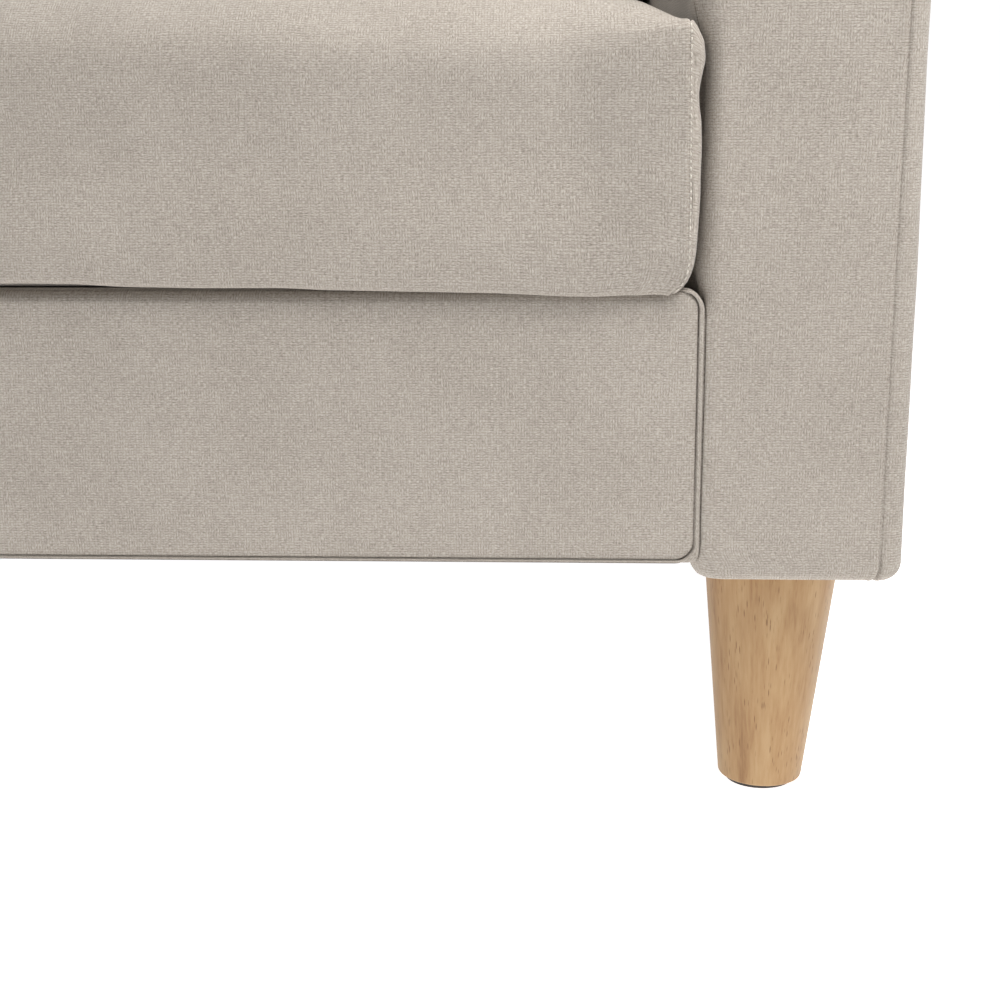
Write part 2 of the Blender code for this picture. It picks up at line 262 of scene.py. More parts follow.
# =====================================================================================
# Materials
# =====================================================================================
class Shader:
    """A material's node tree, with short calls that add a node and link its inputs."""

    def __init__(self, name):
        self.material = bpy.data.materials.new(name)
        self.material.use_nodes = True
        self.tree = self.material.node_tree
        self.surface = self.tree.nodes["Principled BSDF"]

    def add(self, kind, inputs=(), out=0, **settings):
        node = self.tree.nodes.new("ShaderNode" + kind)
        for key, value in settings.items():
            setattr(node, key, value)
        for key, value in dict(inputs).items():
            self.put(node.inputs[key], value)
        return node.outputs[out]

    def put(self, socket, value):
        if isinstance(value, bpy.types.NodeSocket):
            self.tree.links.new(value, socket)
        else:
            socket.default_value = value

    def math(self, operation, *values):
        return self.add("Math", enumerate(values), operation=operation)

    def blend(self, factor, a, b):
        """a where the factor is 0 and b where it is 1, for numbers."""
        return self.math("MULTIPLY_ADD", factor, self.math("SUBTRACT", b, a), a)

    def spread(self, value, low, high, out_low, out_high, kind="SMOOTHSTEP"):
        return self.add("MapRange", {0: value, 1: low, 2: high, 3: out_low, 4: out_high},
                        interpolation_type=kind)

    def point(self, x=0.0, y=0.0, z=0.0):
        return self.add("CombineXYZ", {0: x, 1: y, 2: z})

    def noise(self, vector, scale, detail=1.0, rough=0.5, distortion=0.0):
        return self.add("TexNoise", {"Vector": vector, "Scale": scale, "Detail": detail,
                                     "Roughness": rough, "Distortion": distortion})

    def ramp(self, factor, *stops):
        node = self.tree.nodes.new("ShaderNodeValToRGB")
        self.put(node.inputs[0], factor)
        elements = node.color_ramp.elements
        while len(elements) < len(stops):
            elements.new(0.5)
        for element, (position, colour) in zip(elements, stops):
            element.position = position
            element.color = (*colour, 1.0)
        return node.outputs[0]

    def bump(self, height, distance, strength=1.0, under=None):
        inputs = {"Height": height, "Distance": distance, "Strength": strength}
        if under is not None:
            inputs["Normal"] = under
        return self.add("Bump", inputs)

    def set(self, **values):
        """Principled inputs by name, with spaces as underscores."""
        for key, value in values.items():
            self.put(self.surface.inputs[key.replace("_", " ")], value)
        return self.material


def weave_material(name, dark, middle, light):
    """A plain weave of uneven threads: tones change from crossing to crossing and slowly along a thread, and
    the colour is darker in the weave's hollows, which is painted shade.
    """
    s = Shader(name)
    cloth = s.add("UVMap", uv_map="weave")
    parts = s.tree.nodes.new("ShaderNodeSeparateXYZ")
    s.put(parts.inputs[0], cloth)
    drift = s.math("MULTIPLY", s.noise(cloth, 40.0, detail=2.0), 1.5 * MM)
    wobble = s.math("MULTIPLY", s.noise(cloth, 300.0), 0.45 * MM)
    shift = s.math("ADD", drift, wobble)
    u = s.math("ADD", s.math("ADD", parts.outputs[0], shift), 10.0)
    v = s.math("ADD", s.math("SUBTRACT", parts.outputs[1], shift), 10.0)
    a, b = s.math("DIVIDE", u, THREAD), s.math("DIVIDE", v, THREAD)
    column, row = s.math("FLOOR", a), s.math("FLOOR", b)
    over = s.math("FLOORED_MODULO", s.math("ADD", column, row), 2.0)
    off_a, off_b = (s.math("ABSOLUTE", s.math("MULTIPLY_ADD", s.math("FRACT", x), 2.0, -1.0)) for x in (a, b))
    warp, weft = (s.math("SUBTRACT", 1.0, s.math("POWER", x, 2.2)) for x in (off_a, off_b))
    dip_a, dip_b = (s.math("MULTIPLY_ADD", s.math("POWER", x, 3.0), -0.6, 1.0) for x in (off_a, off_b))
    crossing = s.blend(over, s.math("MULTIPLY", weft, dip_a), s.math("MULTIPLY", warp, dip_b))
    patches = s.spread(s.noise(cloth, 120.0, detail=2.0), 0.47, 0.60, 0.0, 1.0)
    height = s.blend(0.5, crossing, s.blend(patches, weft, warp))

    knuckle = s.add("TexWhiteNoise", {"Vector": s.point(column, row)}, noise_dimensions="2D")
    weft_fibres = s.noise(s.point(s.math("MULTIPLY", u, 650.0), s.math("MULTIPLY", v, 2100.0)), 1.0)
    warp_fibres = s.noise(s.point(s.math("MULTIPLY", u, 2100.0), s.math("MULTIPLY", v, 650.0), 5.0), 1.0)
    fibres = s.blend(patches, weft_fibres, warp_fibres)
    row_tone = s.noise(s.point(s.math("MULTIPLY", u, 160.0), s.math("MULTIPLY", row, 7.31)), 1.0, detail=2.0)
    column_tone = s.noise(s.point(s.math("MULTIPLY", column, 5.77), s.math("MULTIPLY", v, 160.0), 3.0), 1.0,
                          detail=2.0)
    streak = s.blend(over, row_tone, column_tone)
    cloudy = s.noise(cloth, 14.0, detail=3.0, rough=0.6)
    # The tone starts darker where the threads dip and between them: painted shade in the weave's hollows. The
    # terms added below are the threads' own uneven colour.
    tone = s.math("MULTIPLY_ADD", s.math("SUBTRACT", height, 0.62), 0.36, 0.5)
    for value, amount in ((knuckle, 0.16), (fibres, 1.45), (streak, 0.42), (cloudy, 0.25)):
        tone = s.math("MULTIPLY_ADD", s.math("SUBTRACT", value, 0.5), amount, tone)
    colour = s.ramp(tone, (0.0, dark), (0.5, middle), (1.0, light))
    relief = s.math("MULTIPLY_ADD", fibres, 0.35, s.math("MULTIPLY_ADD", knuckle, 0.12, height))
    relief = s.math("MULTIPLY_ADD", streak, 0.5, relief)
    roughness = s.spread(height, 0.2, 1.0, 0.96, 0.82, "LINEAR")
    return s.set(Base_Color=colour, Roughness=roughness, Normal=s.bump(relief, 0.10 * MM, 0.7),
                 Sheen_Weight=0.12, Sheen_Roughness=0.5, Specular_IOR_Level=0.25)


def thread_material():
    """Sewing thread: a fine twist along its length, coloured darker in the twist's grooves, which is painted
    shade.
    """
    s = Shader("sewing_thread")
    place = s.add("TexCoord", out=3)
    twist = s.add("TexWave", {"Vector": place, "Scale": 900.0, "Distortion": 1.0},
                  wave_type="BANDS", bands_direction="DIAGONAL", out=1)
    # Colour follows the twist's relief: painted shade in its grooves, lighter on its ridges.
    colour = s.ramp(twist, (0.0, (0.52, 0.48, 0.42)), (1.0, (0.74, 0.70, 0.63)))
    return s.set(Base_Color=colour, Roughness=s.spread(twist, 0.0, 1.0, 0.7, 0.5, "LINEAR"),
                 Normal=s.bump(twist, 0.05 * MM, 0.6))


def wood_material(name, tones, fleck, grain_axis=2, gloss=0.42):
    """Plantation hardwood: soft bands, fine grain and short dark pores, all drawn out along one axis."""
    s = Shader(name)
    place = s.add("TexCoord", out=3)

    def stretched(amount):
        scale = [1.0, 1.0, 1.0]
        scale[grain_axis] = amount
        return s.add("Mapping", {"Vector": place, "Scale": scale})

    bands = s.noise(stretched(0.10), 55.0, detail=3.0, rough=0.55, distortion=0.6)
    grain = s.noise(stretched(0.05), 520.0, detail=3.0, rough=0.6)
    figure = s.noise(stretched(0.35), 70.0, detail=2.0)
    pores = s.add("TexVoronoi", {"Vector": stretched(0.085), "Scale": 780.0, "Randomness": 1.0},
                  feature="F1", out=0)
    where = s.spread(s.noise(stretched(0.25), 130.0, detail=2.0), 0.44, 0.62, 0.0, 1.0)
    specks = s.math("MULTIPLY", s.spread(pores, 0.12, 0.32, 1.0, 0.0), where)
    base = s.math("ADD", s.math("MULTIPLY", bands, 0.85), s.math("MULTIPLY", figure, 0.35))
    base = s.math("ADD", base, s.math("MULTIPLY", s.math("SUBTRACT", grain, 0.5), 0.55))
    colour = s.ramp(s.math("SUBTRACT", base, 0.10), *zip((0.25, 0.45, 0.62, 0.8), tones))
    colour = s.add("Mix", {0: s.math("MULTIPLY", specks, 0.7), 6: colour, 7: (*fleck, 1.0)},
                   data_type="RGBA", out=2)
    height = s.math("SUBTRACT", s.math("MULTIPLY", grain, 0.4), specks)
    roughness = s.spread(grain, 0.2, 0.8, gloss - 0.07, gloss + 0.10, "LINEAR")
    return s.set(Base_Color=colour, Roughness=roughness, Normal=s.bump(height, 0.08 * MM, 0.5),
                 Specular_IOR_Level=0.22)


def cambric_material():
    """Black spun-bonded dust cloth, pressed in a pattern of small points."""
    s = Shader("dust_cambric")
    place = s.add("UVMap", uv_map="weave")
    points = s.add("TexVoronoi", {"Vector": place, "Scale": 700.0, "Randomness": 0.15}, feature="F1")
    fibres = s.noise(place, 1500.0, detail=4.0, rough=0.7, distortion=1.5)
    cloudy = s.noise(place, 30.0, detail=3.0)
    tone = s.math("ADD", s.math("MULTIPLY", fibres, 0.5), s.math("MULTIPLY", cloudy, 0.4))
    colour = s.ramp(tone, (0.2, (0.012, 0.012, 0.013)), (0.8, (0.05, 0.05, 0.052)))
    height = s.math("ADD", points, s.math("MULTIPLY", fibres, 0.5))
    return s.set(Base_Color=colour, Roughness=s.spread(points, 0.0, 0.6, 0.7, 0.95, "LINEAR"),
                 Normal=s.bump(height, 0.2 * MM, 0.7))


def webbing_material():
    """Dark elastic webbing with lengthwise ribs, coloured lighter on the crests and darker in the grooves:
    painted highlight and painted shade.
    """
    s = Shader("elastic_webbing")
    place = s.tree.nodes.new("ShaderNodeSeparateXYZ")
    s.put(place.inputs[0], s.add("TexCoord", out=3))
    ribs = s.math("ABSOLUTE", s.math("SINE", s.math("MULTIPLY", place.outputs[0], math.pi / (2.4 * MM))))
    picks = s.math("ABSOLUTE", s.math("SINE", s.math("MULTIPLY", place.outputs[1], math.pi / (1.6 * MM))))
    weave = s.math("MULTIPLY", ribs, s.math("ADD", s.math("MULTIPLY", picks, 0.5), 0.5))
    # Colour follows the rib relief: painted highlight on the crests, painted shade in the grooves.
    colour = s.ramp(weave, (0.0, (0.05, 0.045, 0.04)), (0.8, (0.19, 0.18, 0.16)), (1.0, (0.26, 0.24, 0.21)))
    return s.set(Base_Color=colour, Roughness=s.spread(weave, 0.0, 1.0, 0.95, 0.7, "LINEAR"),
                 Normal=s.bump(weave, 0.4 * MM, 0.8))


def steel_material():
    """Bright zinc plate with faint mottling and fine scratches."""
    s = Shader("zinc_plated_steel")
    place = s.add("TexCoord", out=3)
    mottle = s.noise(place, 350.0, detail=3.0)
    scratches = s.noise(s.add("Mapping", {"Vector": place, "Scale": (1.0, 1.0, 12.0)}), 900.0, detail=2.0)
    colour = s.ramp(mottle, (0.3, (0.50, 0.51, 0.52)), (0.7, (0.68, 0.68, 0.66)))
    roughness = s.spread(scratches, 0.3, 0.7, 0.26, 0.46, "LINEAR")
    return s.set(Base_Color=colour, Metallic=1.0, Roughness=roughness,
                 Normal=s.bump(scratches, 0.03 * MM, 0.4))


def plastic_material():
    """Dark moulded plastic with a fine spark-eroded texture."""
    s = Shader("moulded_plastic")
    place = s.add("TexCoord", out=3)
    texture = s.noise(place, 2600.0, detail=2.0)
    wear = s.noise(place, 160.0, detail=3.0)
    colour = s.ramp(wear, (0.3, (0.022, 0.021, 0.020)), (0.7, (0.045, 0.043, 0.041)))
    return s.set(Base_Color=colour, Roughness=s.spread(wear, 0.3, 0.7, 0.42, 0.62, "LINEAR"),
                 Normal=s.bump(texture, 0.05 * MM, 0.5))


def floor_material():
    """A pale floor that glows white, but for a dimmer stretch in front of the object."""
    s = Shader("studio_floor")
    place = s.add("TexCoord", out=3)
    cloud = s.noise(place, 1.5, detail=2.0)
    colour = s.ramp(cloud, (0.3, (0.90, 0.90, 0.90)), (0.7, (0.93, 0.93, 0.93)))
    parts = s.tree.nodes.new("ShaderNodeSeparateXYZ")
    s.put(parts.inputs[0], place)
    near = s.spread(parts.outputs[1], -1.5, -0.60, 0.12, FLOOR_GLOW)
    glow = s.math("MAXIMUM", near, s.spread(parts.outputs[1], -4.2, -1.6, 0.95, 0.0))
    return s.set(Base_Color=colour, Roughness=0.85, Emission_Color=(1.0, 0.995, 1.0, 1.0),
                 Emission_Strength=glow)


# =====================================================================================
# Seams
# =====================================================================================
def seam_push(distance, depth, width=0.6 * MM, ridge=0.3 * MM, reach=2.2 * MM):
    """A sewn line: a narrow groove with a soft ridge on both sides where the allowance lies."""
    groove = np.exp(-(distance / width) ** 2)
    bank = np.exp(-((np.abs(distance) - reach) / (0.55 * reach)) ** 2)
    return ridge * bank * (1 - groove) - depth * groove


def capsule_tube(path, radius, beside, sides=6):
    """Points and faces of a thin closed tube along a short path that never runs along beside."""
    path = np.asarray(path)
    tangent = np.gradient(path, axis=0)
    tangent /= np.linalg.norm(tangent, axis=1)[:, None]
    first = np.cross(tangent, beside)
    first /= np.linalg.norm(first, axis=1)[:, None]
    second = np.cross(tangent, first)
    swell = radius * np.sqrt(1 - 0.98 * np.abs(np.linspace(-1, 1, len(path))) ** 6)
    angle = np.linspace(0, 2 * math.pi, sides, endpoint=False)[None, :, None]
    ring = np.cos(angle) * first[:, None] + np.sin(angle) * second[:, None]
    points = (path[:, None] + ring * swell[:, None, None]).reshape(-1, 3)
    faces = []
    for row in range(len(path) - 1):
        for k in range(sides):
            here, following = row * sides + k, row * sides + (k + 1) % sides
            faces.append((here, following, following + sides, here + sides))
    last = len(points) - sides
    faces.append(tuple(range(sides - 1, -1, -1)))
    faces.append(tuple(range(last, last + sides)))
    return points, faces


def join_tubes(name, tubes, mirror=False):
    """One object made of many tubes."""
    points, faces, start = [], [], 0
    for tube_points, tube_faces in tubes:
        points.append(tube_points)
        faces += [tuple(start + k for k in face) for face in tube_faces]
        start += len(tube_points)
    points = np.concatenate(points) * np.array([-1.0 if mirror else 1.0, 1.0, 1.0])
    mesh = bpy.data.meshes.new(name)
    mesh.from_pydata(points.tolist(), [], faces)
    return link_mesh(mesh)


def stitches(name, line, away, pitch=3.6 * MM, radius=0.38 * MM, lift=0.35 * MM, seed=3):
    """One row of lockstitches of slightly uneven length along a line of points, lying on the cloth."""
    draw = np.random.default_rng(seed)
    length = run_length(line)
    tubes = []
    for index in range(int(length[-1] / pitch)):
        gap = draw.uniform(0.9, 2.1) * MM
        at = np.linspace(index * pitch + gap / 2, (index + 1) * pitch - gap / 2, 5)
        middle = np.stack([np.interp(at, length, line[:, k]) for k in range(3)], 1)
        middle[:, 0] += np.linspace(-1, 1, 5) * draw.uniform(-0.3, 0.3) * MM
        arch = (0.25 + np.sin(np.linspace(0, math.pi, 5)))[:, None] * lift
        tubes.append(capsule_tube(middle + away * arch, radius * draw.uniform(0.8, 1.2), away))
    return join_tubes(name, tubes)


# =====================================================================================
# Arms
# =====================================================================================
ARM_INNER_RADIUS = 15 * MM
ARM_OUTER_RADIUS = 8 * MM
ARM_FOOT_RADIUS = 9.5 * MM
ARM_TOP_RADIUS = 13 * MM
ARM_FLANGE = 22 * MM
SEAM_IN_AT_TOP = 9.5 * MM
SEAM_IN_AT_FOOT = 12.2 * MM
INNER_TURN = np.concatenate([[0.0, 2.5], np.arange(5.0, 27.0, 1.5), [30.0, 35.0, 40.0, 45.0]])
WELT_TURN = np.concatenate([INNER_TURN, np.arange(46.0, 70.0, 0.75), np.linspace(72, 90, 6)])
OUTER_TURN = np.concatenate([np.linspace(0, 45, 9), np.linspace(45, 90, len(INNER_TURN))[1:]])
ARM_TURNS = (WELT_TURN, OUTER_TURN, 90 - OUTER_TURN[::-1], 90 - WELT_TURN[::-1])
WELT_LINE = np.array([  # place across, height of the crease beside the front rail's welt (mm)
    (617.7, 138.3), (619.3, 144.3), (620.0, 151.3), (619.7, 159.4), (619.8, 183.4), (620.0, 246.3),
    (619.8, 268.0), (619.5, 271.7), (617.6, 279.2), (616.2, 283.0),
])


def arm_profile(bottom, top):
    """(height, inset) pairs: in under the arm, round its foot, up, and over the top edge."""
    angles = np.linspace(0, math.pi / 2, 9)
    foot = [(bottom + ARM_FOOT_RADIUS * (1 - math.cos(a)), ARM_FOOT_RADIUS * (1 - math.sin(a)))
            for a in angles]
    head = [(top - ARM_TOP_RADIUS * (1 - math.sin(a)), ARM_TOP_RADIUS * (1 - math.cos(a))) for a in angles]
    heights = np.unique(np.concatenate([
        np.linspace(foot[-1][0], head[0][0], 55)[1:-1], np.arange(0.1405, 0.156, 1.3 * MM),
        np.arange(0.262, 0.296, 1.3 * MM), np.arange(0.404, 0.424, 1.6 * MM)]))
    under = [(bottom + 0.3 * MM, ARM_FLANGE), (bottom, 0.7 * ARM_FLANGE)]
    return under + foot + [(height, 0.0) for height in heights] + head


def arm_insets(height, inset, bottom):
    """Insets of the inner side, the outer side and the ends: the foot is fullest at the ends."""
    lift = (height - bottom) / MM
    inner = np.interp(lift, (0.0, 0.7, 1.9, 3.6, 5.6, 8.0, 10.0, 13.0, 16.0, 19.0),
                      (12.6, 9.6, 7.8, 6.4, 5.5, 4.8, 3.7, 1.7, 0.4, 0.0)) * MM
    at_foot = lift < ARM_FOOT_RADIUS / MM
    return max(inner, inset), inset, inset * (0.45 if at_foot and inset <= ARM_FOOT_RADIUS else 1.0)


ARM_PRESS = (  # height, how far the seat cushion pushes the arm's inner corner aside (mm)
    (262.0, 0.0), (269.0, 3.0), (275.0, 6.0), (279.0, 6.0), (285.0, 4.4), (292.0, 3.6), (302.0, 4.2),
    (330.0, 5.6), (394.0, 6.2), (403.0, 4.8), (411.0, 2.4), (421.0, 0.0),
)
PRESS_REAR = -372 * MM
PRESS_FADE = 12 * MM


def press_corner(ring, height):
    """The arm's inner front corner at one height, squeezed sideways where the cushion bulges against it."""
    near = np.clip((ARM_LOW.x + 19 * MM - ring[:, 0]) / (19 * MM), 0, 1)
    ring[:, 0] += table(ARM_PRESS, height) * near * smooth((PRESS_REAR - ring[:, 1]) / PRESS_FADE)
    return ring


def seam_inset(height, bottom, top):
    """How far in from the arm's outer face its front seam runs; it drifts a little down the arm."""
    down = (top - height) / (top - bottom)
    return SEAM_IN_AT_TOP + (SEAM_IN_AT_FOOT - SEAM_IN_AT_TOP) * smooth(down * 1.15)


def arm_stations(width, seam):
    """Fractions across the arm's straight front, with close columns at the seam, and the seam's column."""
    run = width - ARM_INNER_RADIUS - ARM_OUTER_RADIUS
    at = width - seam - ARM_INNER_RADIUS
    close = np.array([-6.5, -4.2, -2.8, -1.8, -1.1, -0.6, -0.25, 0.0]) * MM
    wide = np.linspace(0, at + close[0], 15)[1:-1]
    rest = at + (run - at) * np.array([0.18, 0.42, 0.7])
    return np.concatenate([wide, at + close, rest]) / run, len(wide) + len(close) - 1


def arm_ring(height, inset, bottom, along):
    """One ring of an arm's cover: its sides, its points, its seams' push and the front seam's column."""
    across, seam_column = arm_stations(ARM_HIGH.x - ARM_LOW.x, seam_inset(height, bottom, ARM_HIGH.z))
    inner, outer, ends = arm_insets(height, inset, bottom)
    radii = [max(r - 0.6 * inset, 2 * MM) for r in
             (ARM_INNER_RADIUS, ARM_OUTER_RADIUS, ARM_OUTER_RADIUS, ARM_INNER_RADIUS)]
    sides = rounded_rectangle((ARM_LOW.x + inner, DEPTH_FRONT + ends),
                              (ARM_HIGH.x - outer, DEPTH_REAR - ends), radii, across, along, ARM_TURNS)
    ring = loop_of(sides)
    distance = run_length(ring)
    front_seam = int(np.sum(WELT_TURN >= 45)) + seam_column
    rear_corner = len(sides[0]) + len(sides[1]) - 2 + int(np.sum(OUTER_TURN < 45))
    rear_seam = rear_corner + len(across) - seam_column
    inner_seam = distance[-1] - ARM_INNER_RADIUS * math.radians(33)
    open_foot = 1.3 * MM * smooth((bottom + 17 * MM - height) / (12 * MM))
    push = seam_push(distance - distance[front_seam], 1.0 * MM + open_foot)
    push += seam_push(distance - distance[rear_seam], 1.0 * MM)
    push += seam_push(distance - inner_seam, 2.0 * MM, ridge=0.2 * MM)
    return sides, level(press_corner(ring, height), height), push, front_seam


def arm_cover(name, side):
    """One sewn cover over the arm's foam: its front panel runs round to the inner side, to a seam there."""
    bottom, top = ARM_LOW.z - 0.6 * MM, ARM_HIGH.z
    along = graded(DEPTH_REAR - DEPTH_FRONT - 2 * ARM_OUTER_RADIUS, 0.5 * MM, 10 * MM, 1.5)
    rings = [arm_ring(height, inset, bottom, along) for height, inset in arm_profile(bottom, top)]
    wall = np.array([points for _, points, _, _ in rings])
    skin = Skin()
    skin.add(wall, wall_cloth(wall), np.array([push for _, _, push, _ in rings]))
    sides, _, _, front_seam = rings[-1]
    cap = coons(*sides)
    middle = 4 * MM * dome(*np.meshgrid(share(sides[0]), share(sides[1])))
    cap_push = seam_push(cap[..., 0] - cap[:, front_seam, 0][:, None], 1.0 * MM)
    skin.add(level(cap, top + middle), cap, cap_push)

    def soften(points, away):
        swell = arm_swell(points, bottom, top) + 0.45 * MM * unevenness(points, 11 + side, 0.05, 0.30)
        swell[points[:, 2] < bottom + 0.6 * MM] = 0.0
        return swell - welt_press(points)

    cover = thicken(skin.build(f"{name}_cover", side < 0, soften))
    pads = [f"{name}_{pad}_pad" for pad in ("front", "rear", "outer", "inner", "top")]
    finish_piece(cover, CLOTH, nodes=pads)
    return cover


def dome(s, t, power=2.0):
    """1 in the middle and 0 on the edges of a unit square."""
    return (1 - np.abs(2 * s - 1) ** power) * (1 - np.abs(2 * t - 1) ** power)


def wall_cloth(wall):
    """Cloth coordinates of a wall of rings: round it, and up its profile."""
    round_it = run_length(wall[len(wall) // 2])
    up = run_length(wall[:, wall.shape[1] // 8])
    return np.stack(np.broadcast_arrays(round_it[None, :], up[:, None]), -1)


def arm_swell(points, bottom, top):
    """Foam pushes the middle of each face out a little."""
    x = (points[:, 0] - ARM_LOW.x) / (ARM_HIGH.x - ARM_LOW.x)
    y = (points[:, 1] - DEPTH_FRONT) / (DEPTH_REAR - DEPTH_FRONT)
    z = (points[:, 2] - bottom) / (top - bottom)
    x, y, z = (np.clip(value, 0, 1) for value in (x, y, z))
    on_end = np.minimum(np.abs(y), np.abs(1 - y)) < 0.02
    faces = np.where(on_end, dome(x, z, 4.0) * 0.9, dome(y, z, 6.0) * 1.2)
    return faces * MM


def welt_press(points):
    """The front rail's welt is pulled into the arm's rounded inner corner and leaves a narrow crease."""
    x, y, z = points[:, 0], points[:, 1], points[:, 2]
    line = np.interp(z, WELT_LINE[:, 1] * MM, WELT_LINE[:, 0] * MM)
    span = smooth((z - 137.5 * MM) / (3 * MM)) * smooth((284 * MM - z) / (4 * MM))
    crease = np.exp(-np.abs((x - line) / (0.42 * MM)) ** 2.4)
    return 2.0 * MM * crease * span * (y < DEPTH_FRONT + 8 * MM)


ARM_BOARD = ((611.5, 281.0), (611.5, 146.0), (616.5, 139.0), (625.0, 131.8), (636.5, 131.3), (636.5, 281.0))


def arm_board(name, side):
    """The arm's lower inner board, with its lower inner edge planed off under the cover."""
    low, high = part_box("right_arm_bottom_rail")
    mesh = bpy.data.meshes.new(f"{name}_planed_board")
    bm = bmesh.new()
    front = low.y + 10 * MM
    section = [bm.verts.new((side * x * MM, front, z * MM)) for x, z in ARM_BOARD]
    face = bm.faces.new(section)
    run = bmesh.ops.extrude_face_region(bm, geom=[face])["geom"]
    moved = [thing for thing in run if isinstance(thing, bmesh.types.BMVert)]
    bmesh.ops.translate(bm, verts=moved, vec=(0.0, high.y - front, 0.0))
    bmesh.ops.recalc_face_normals(bm, faces=bm.faces)
    bm.to_mesh(mesh)
    bm.free()
    board = bpy.data.objects.new(mesh.name, mesh)
    bpy.context.scene.collection.objects.link(board)
    finish_piece(board, FRAME_WOOD, nodes=[f"{name}_bottom_rail"])


def arm_underside(name, side):
    """Dust cloth stapled over the opening under an arm."""
    low = np.array([ARM_LOW.x + 12 * MM, DEPTH_FRONT + 12 * MM])
    high = np.array([ARM_HIGH.x - 12 * MM, DEPTH_REAR - 12 * MM])
    height = ARM_LOW.z + 0.55 * MM
    sheet = cambric_sheet(f"{name}_dust_cloth", low, high, height, 31 + side, side < 0, sag=0.0)


# =====================================================================================
# Front rail
# =====================================================================================
RAIL_RINGS = (
    # half width, bottom, top, bottom corner, top corner, front at the sides, front at the top (mm)
    (610.5, 139.6, 280.6, 2.0, 2.0, -362.0, -374.0),
    (610.5, 139.1, 281.1, 2.0, 2.0, -385.0, -385.0),
    (612.5, 138.8, 281.4, 3.0, 3.0, -391.0, -388.0),
    (615.5, 138.7, 281.5, 3.5, 5.0, -393.5, -390.0),
    (618.0, 138.7, 281.5, 4.5, 8.0, -395.0, -390.2),
    (619.2, 138.8, 281.5, 5.5, 10.5, -396.2, -390.4),
    (619.4, 139.0, 281.5, 6.0, 10.8, -398.4, -390.6),
    (619.0, 139.2, 281.3, 7.4, 10.6, -399.2, -390.8),
    (618.3, 139.4, 281.1, 8.4, 10.2, -399.6, -391.0),
    (617.5, 139.7, 280.9, 9.2, 9.8, -399.5, -391.2),
    (617.0, 139.9, 280.7, 9.8, 9.5, -399.1, -391.5),
    (616.85, 140.0, 280.6, 10.0, 9.4, -395.2, -391.8),
    (616.45, 140.3, 280.5, 10.2, 9.2, -395.0, -392.0),
    (616.25, 140.5, 280.4, 10.2, 9.0, -397.9, -392.6),
    (615.8, 140.9, 280.2, 10.0, 8.8, -398.4, -393.6),
    (614.8, 141.9, 279.6, 9.5, 8.0, -398.7, -395.4),
    (612.5, 144.3, 277.8, 8.0, 6.0, -398.9, -397.4),
    (609.0, 148.0, 275.0, 6.0, 4.0, -398.9, -398.7),
)
FIRST_PANEL_RING = 12
WELT_FADE = 14 * MM
PANEL_FRONT = -396.5 * MM
PANEL_HALF = 612 * MM
PANEL_FOOT = 141 * MM
PANEL_HEIGHT = 138 * MM
PUCKER_PLACE = (607.5 * MM, 151.5 * MM)


def rail_cover():
    """The upholstered front rail: a panel inside a flat welt, and the boxing behind it."""
    skin = Skin()
    across = graded(1.20, 2.0 * MM, 8 * MM, 1.15)
    along = graded(0.12, 2.0 * MM, 7 * MM, 1.3)
    rings, sides = [], None
    for half, bottom, top, foot, head, front, front_top in np.array(RAIL_RINGS) * MM:
        sides = rounded_rectangle((-half, bottom), (half, top), (foot, foot, head, head), across, along,
                                  [even_turn(16)] * 4)
        ring = loop_of(sides)
        near_top = smooth((ring[:, 1] - (top - 4 * MM)) / (3 * MM))
        near_top *= smooth((half - WELT_FADE * 0.5 - np.abs(ring[:, 0])) / WELT_FADE)
        rings.append(level(ring, -(front + (front_top - front) * near_top)))
    wall = np.array(rings)
    cut = FIRST_PANEL_RING
    skin.add(turn_to_front(wall[:cut + 1]), wall_cloth(wall[:cut + 1]))
    skin.add(turn_to_front(wall[cut:]), wall[cut:, :, :2])
    cap = coons(*sides)
    skin.add(turn_to_front(level(cap, rail_front(sides, wall[-1]))), cap)

    def soften(points, away):
        on_panel = smooth((PANEL_FRONT - points[:, 1]) / (1.5 * MM))
        up = (points[:, 2] - PANEL_FOOT) / PANEL_HEIGHT
        inside = dome((points[:, 0] / PANEL_HALF + 1) / 2, up, 4.0)
        swell = 1.1 * MM * np.clip(inside, 0, 1)
        swell += 0.5 * MM * unevenness(points, 5, 0.05, 0.35) * np.clip(inside * 3, 0, 1)
        swell -= pucker(points)
        return swell * on_panel

    cover = thicken(skin.build("front_rail_cover", extra=soften))
    finish_piece(cover, CLOTH, nodes=["front_rail_pad"])


def turn_to_front(points):
    """Plan points (x, height) with a depth towards the viewer, as points in the frame."""
    return np.stack([points[..., 0], -points[..., 2], points[..., 1]], -1)


def rail_front(sides, ring):
    """The panel's front inside its last ring, blended from the ring's own depths."""
    counts = np.cumsum([0] + [len(side) - 1 for side in sides])
    edges = [ring[start:end + 1, 2:] for start, end in zip(counts[:-1], counts[1:])]
    return coons(*edges, s=share(sides[0]), t=share(sides[1]))[..., 0]


def pucker(points):
    """Small hollows where the panel's lower corners are gathered into the welt."""
    total = np.zeros(len(points))
    for side in (-1, 1):
        x, z = side * points[:, 0] - PUCKER_PLACE[0], points[:, 2] - PUCKER_PLACE[1]
        along, across = (x + z) * math.sqrt(0.5), (x - z) * math.sqrt(0.5)
        total += 0.9 * MM * np.exp(-(along / (7 * MM)) ** 2 - (across / (2.2 * MM)) ** 2)
    return total


# =====================================================================================
# Deck, back and dust covers
# =====================================================================================
DECK_HALF = 609.5 * MM
DECK_SEAM = DEPTH_FRONT + 110 * MM


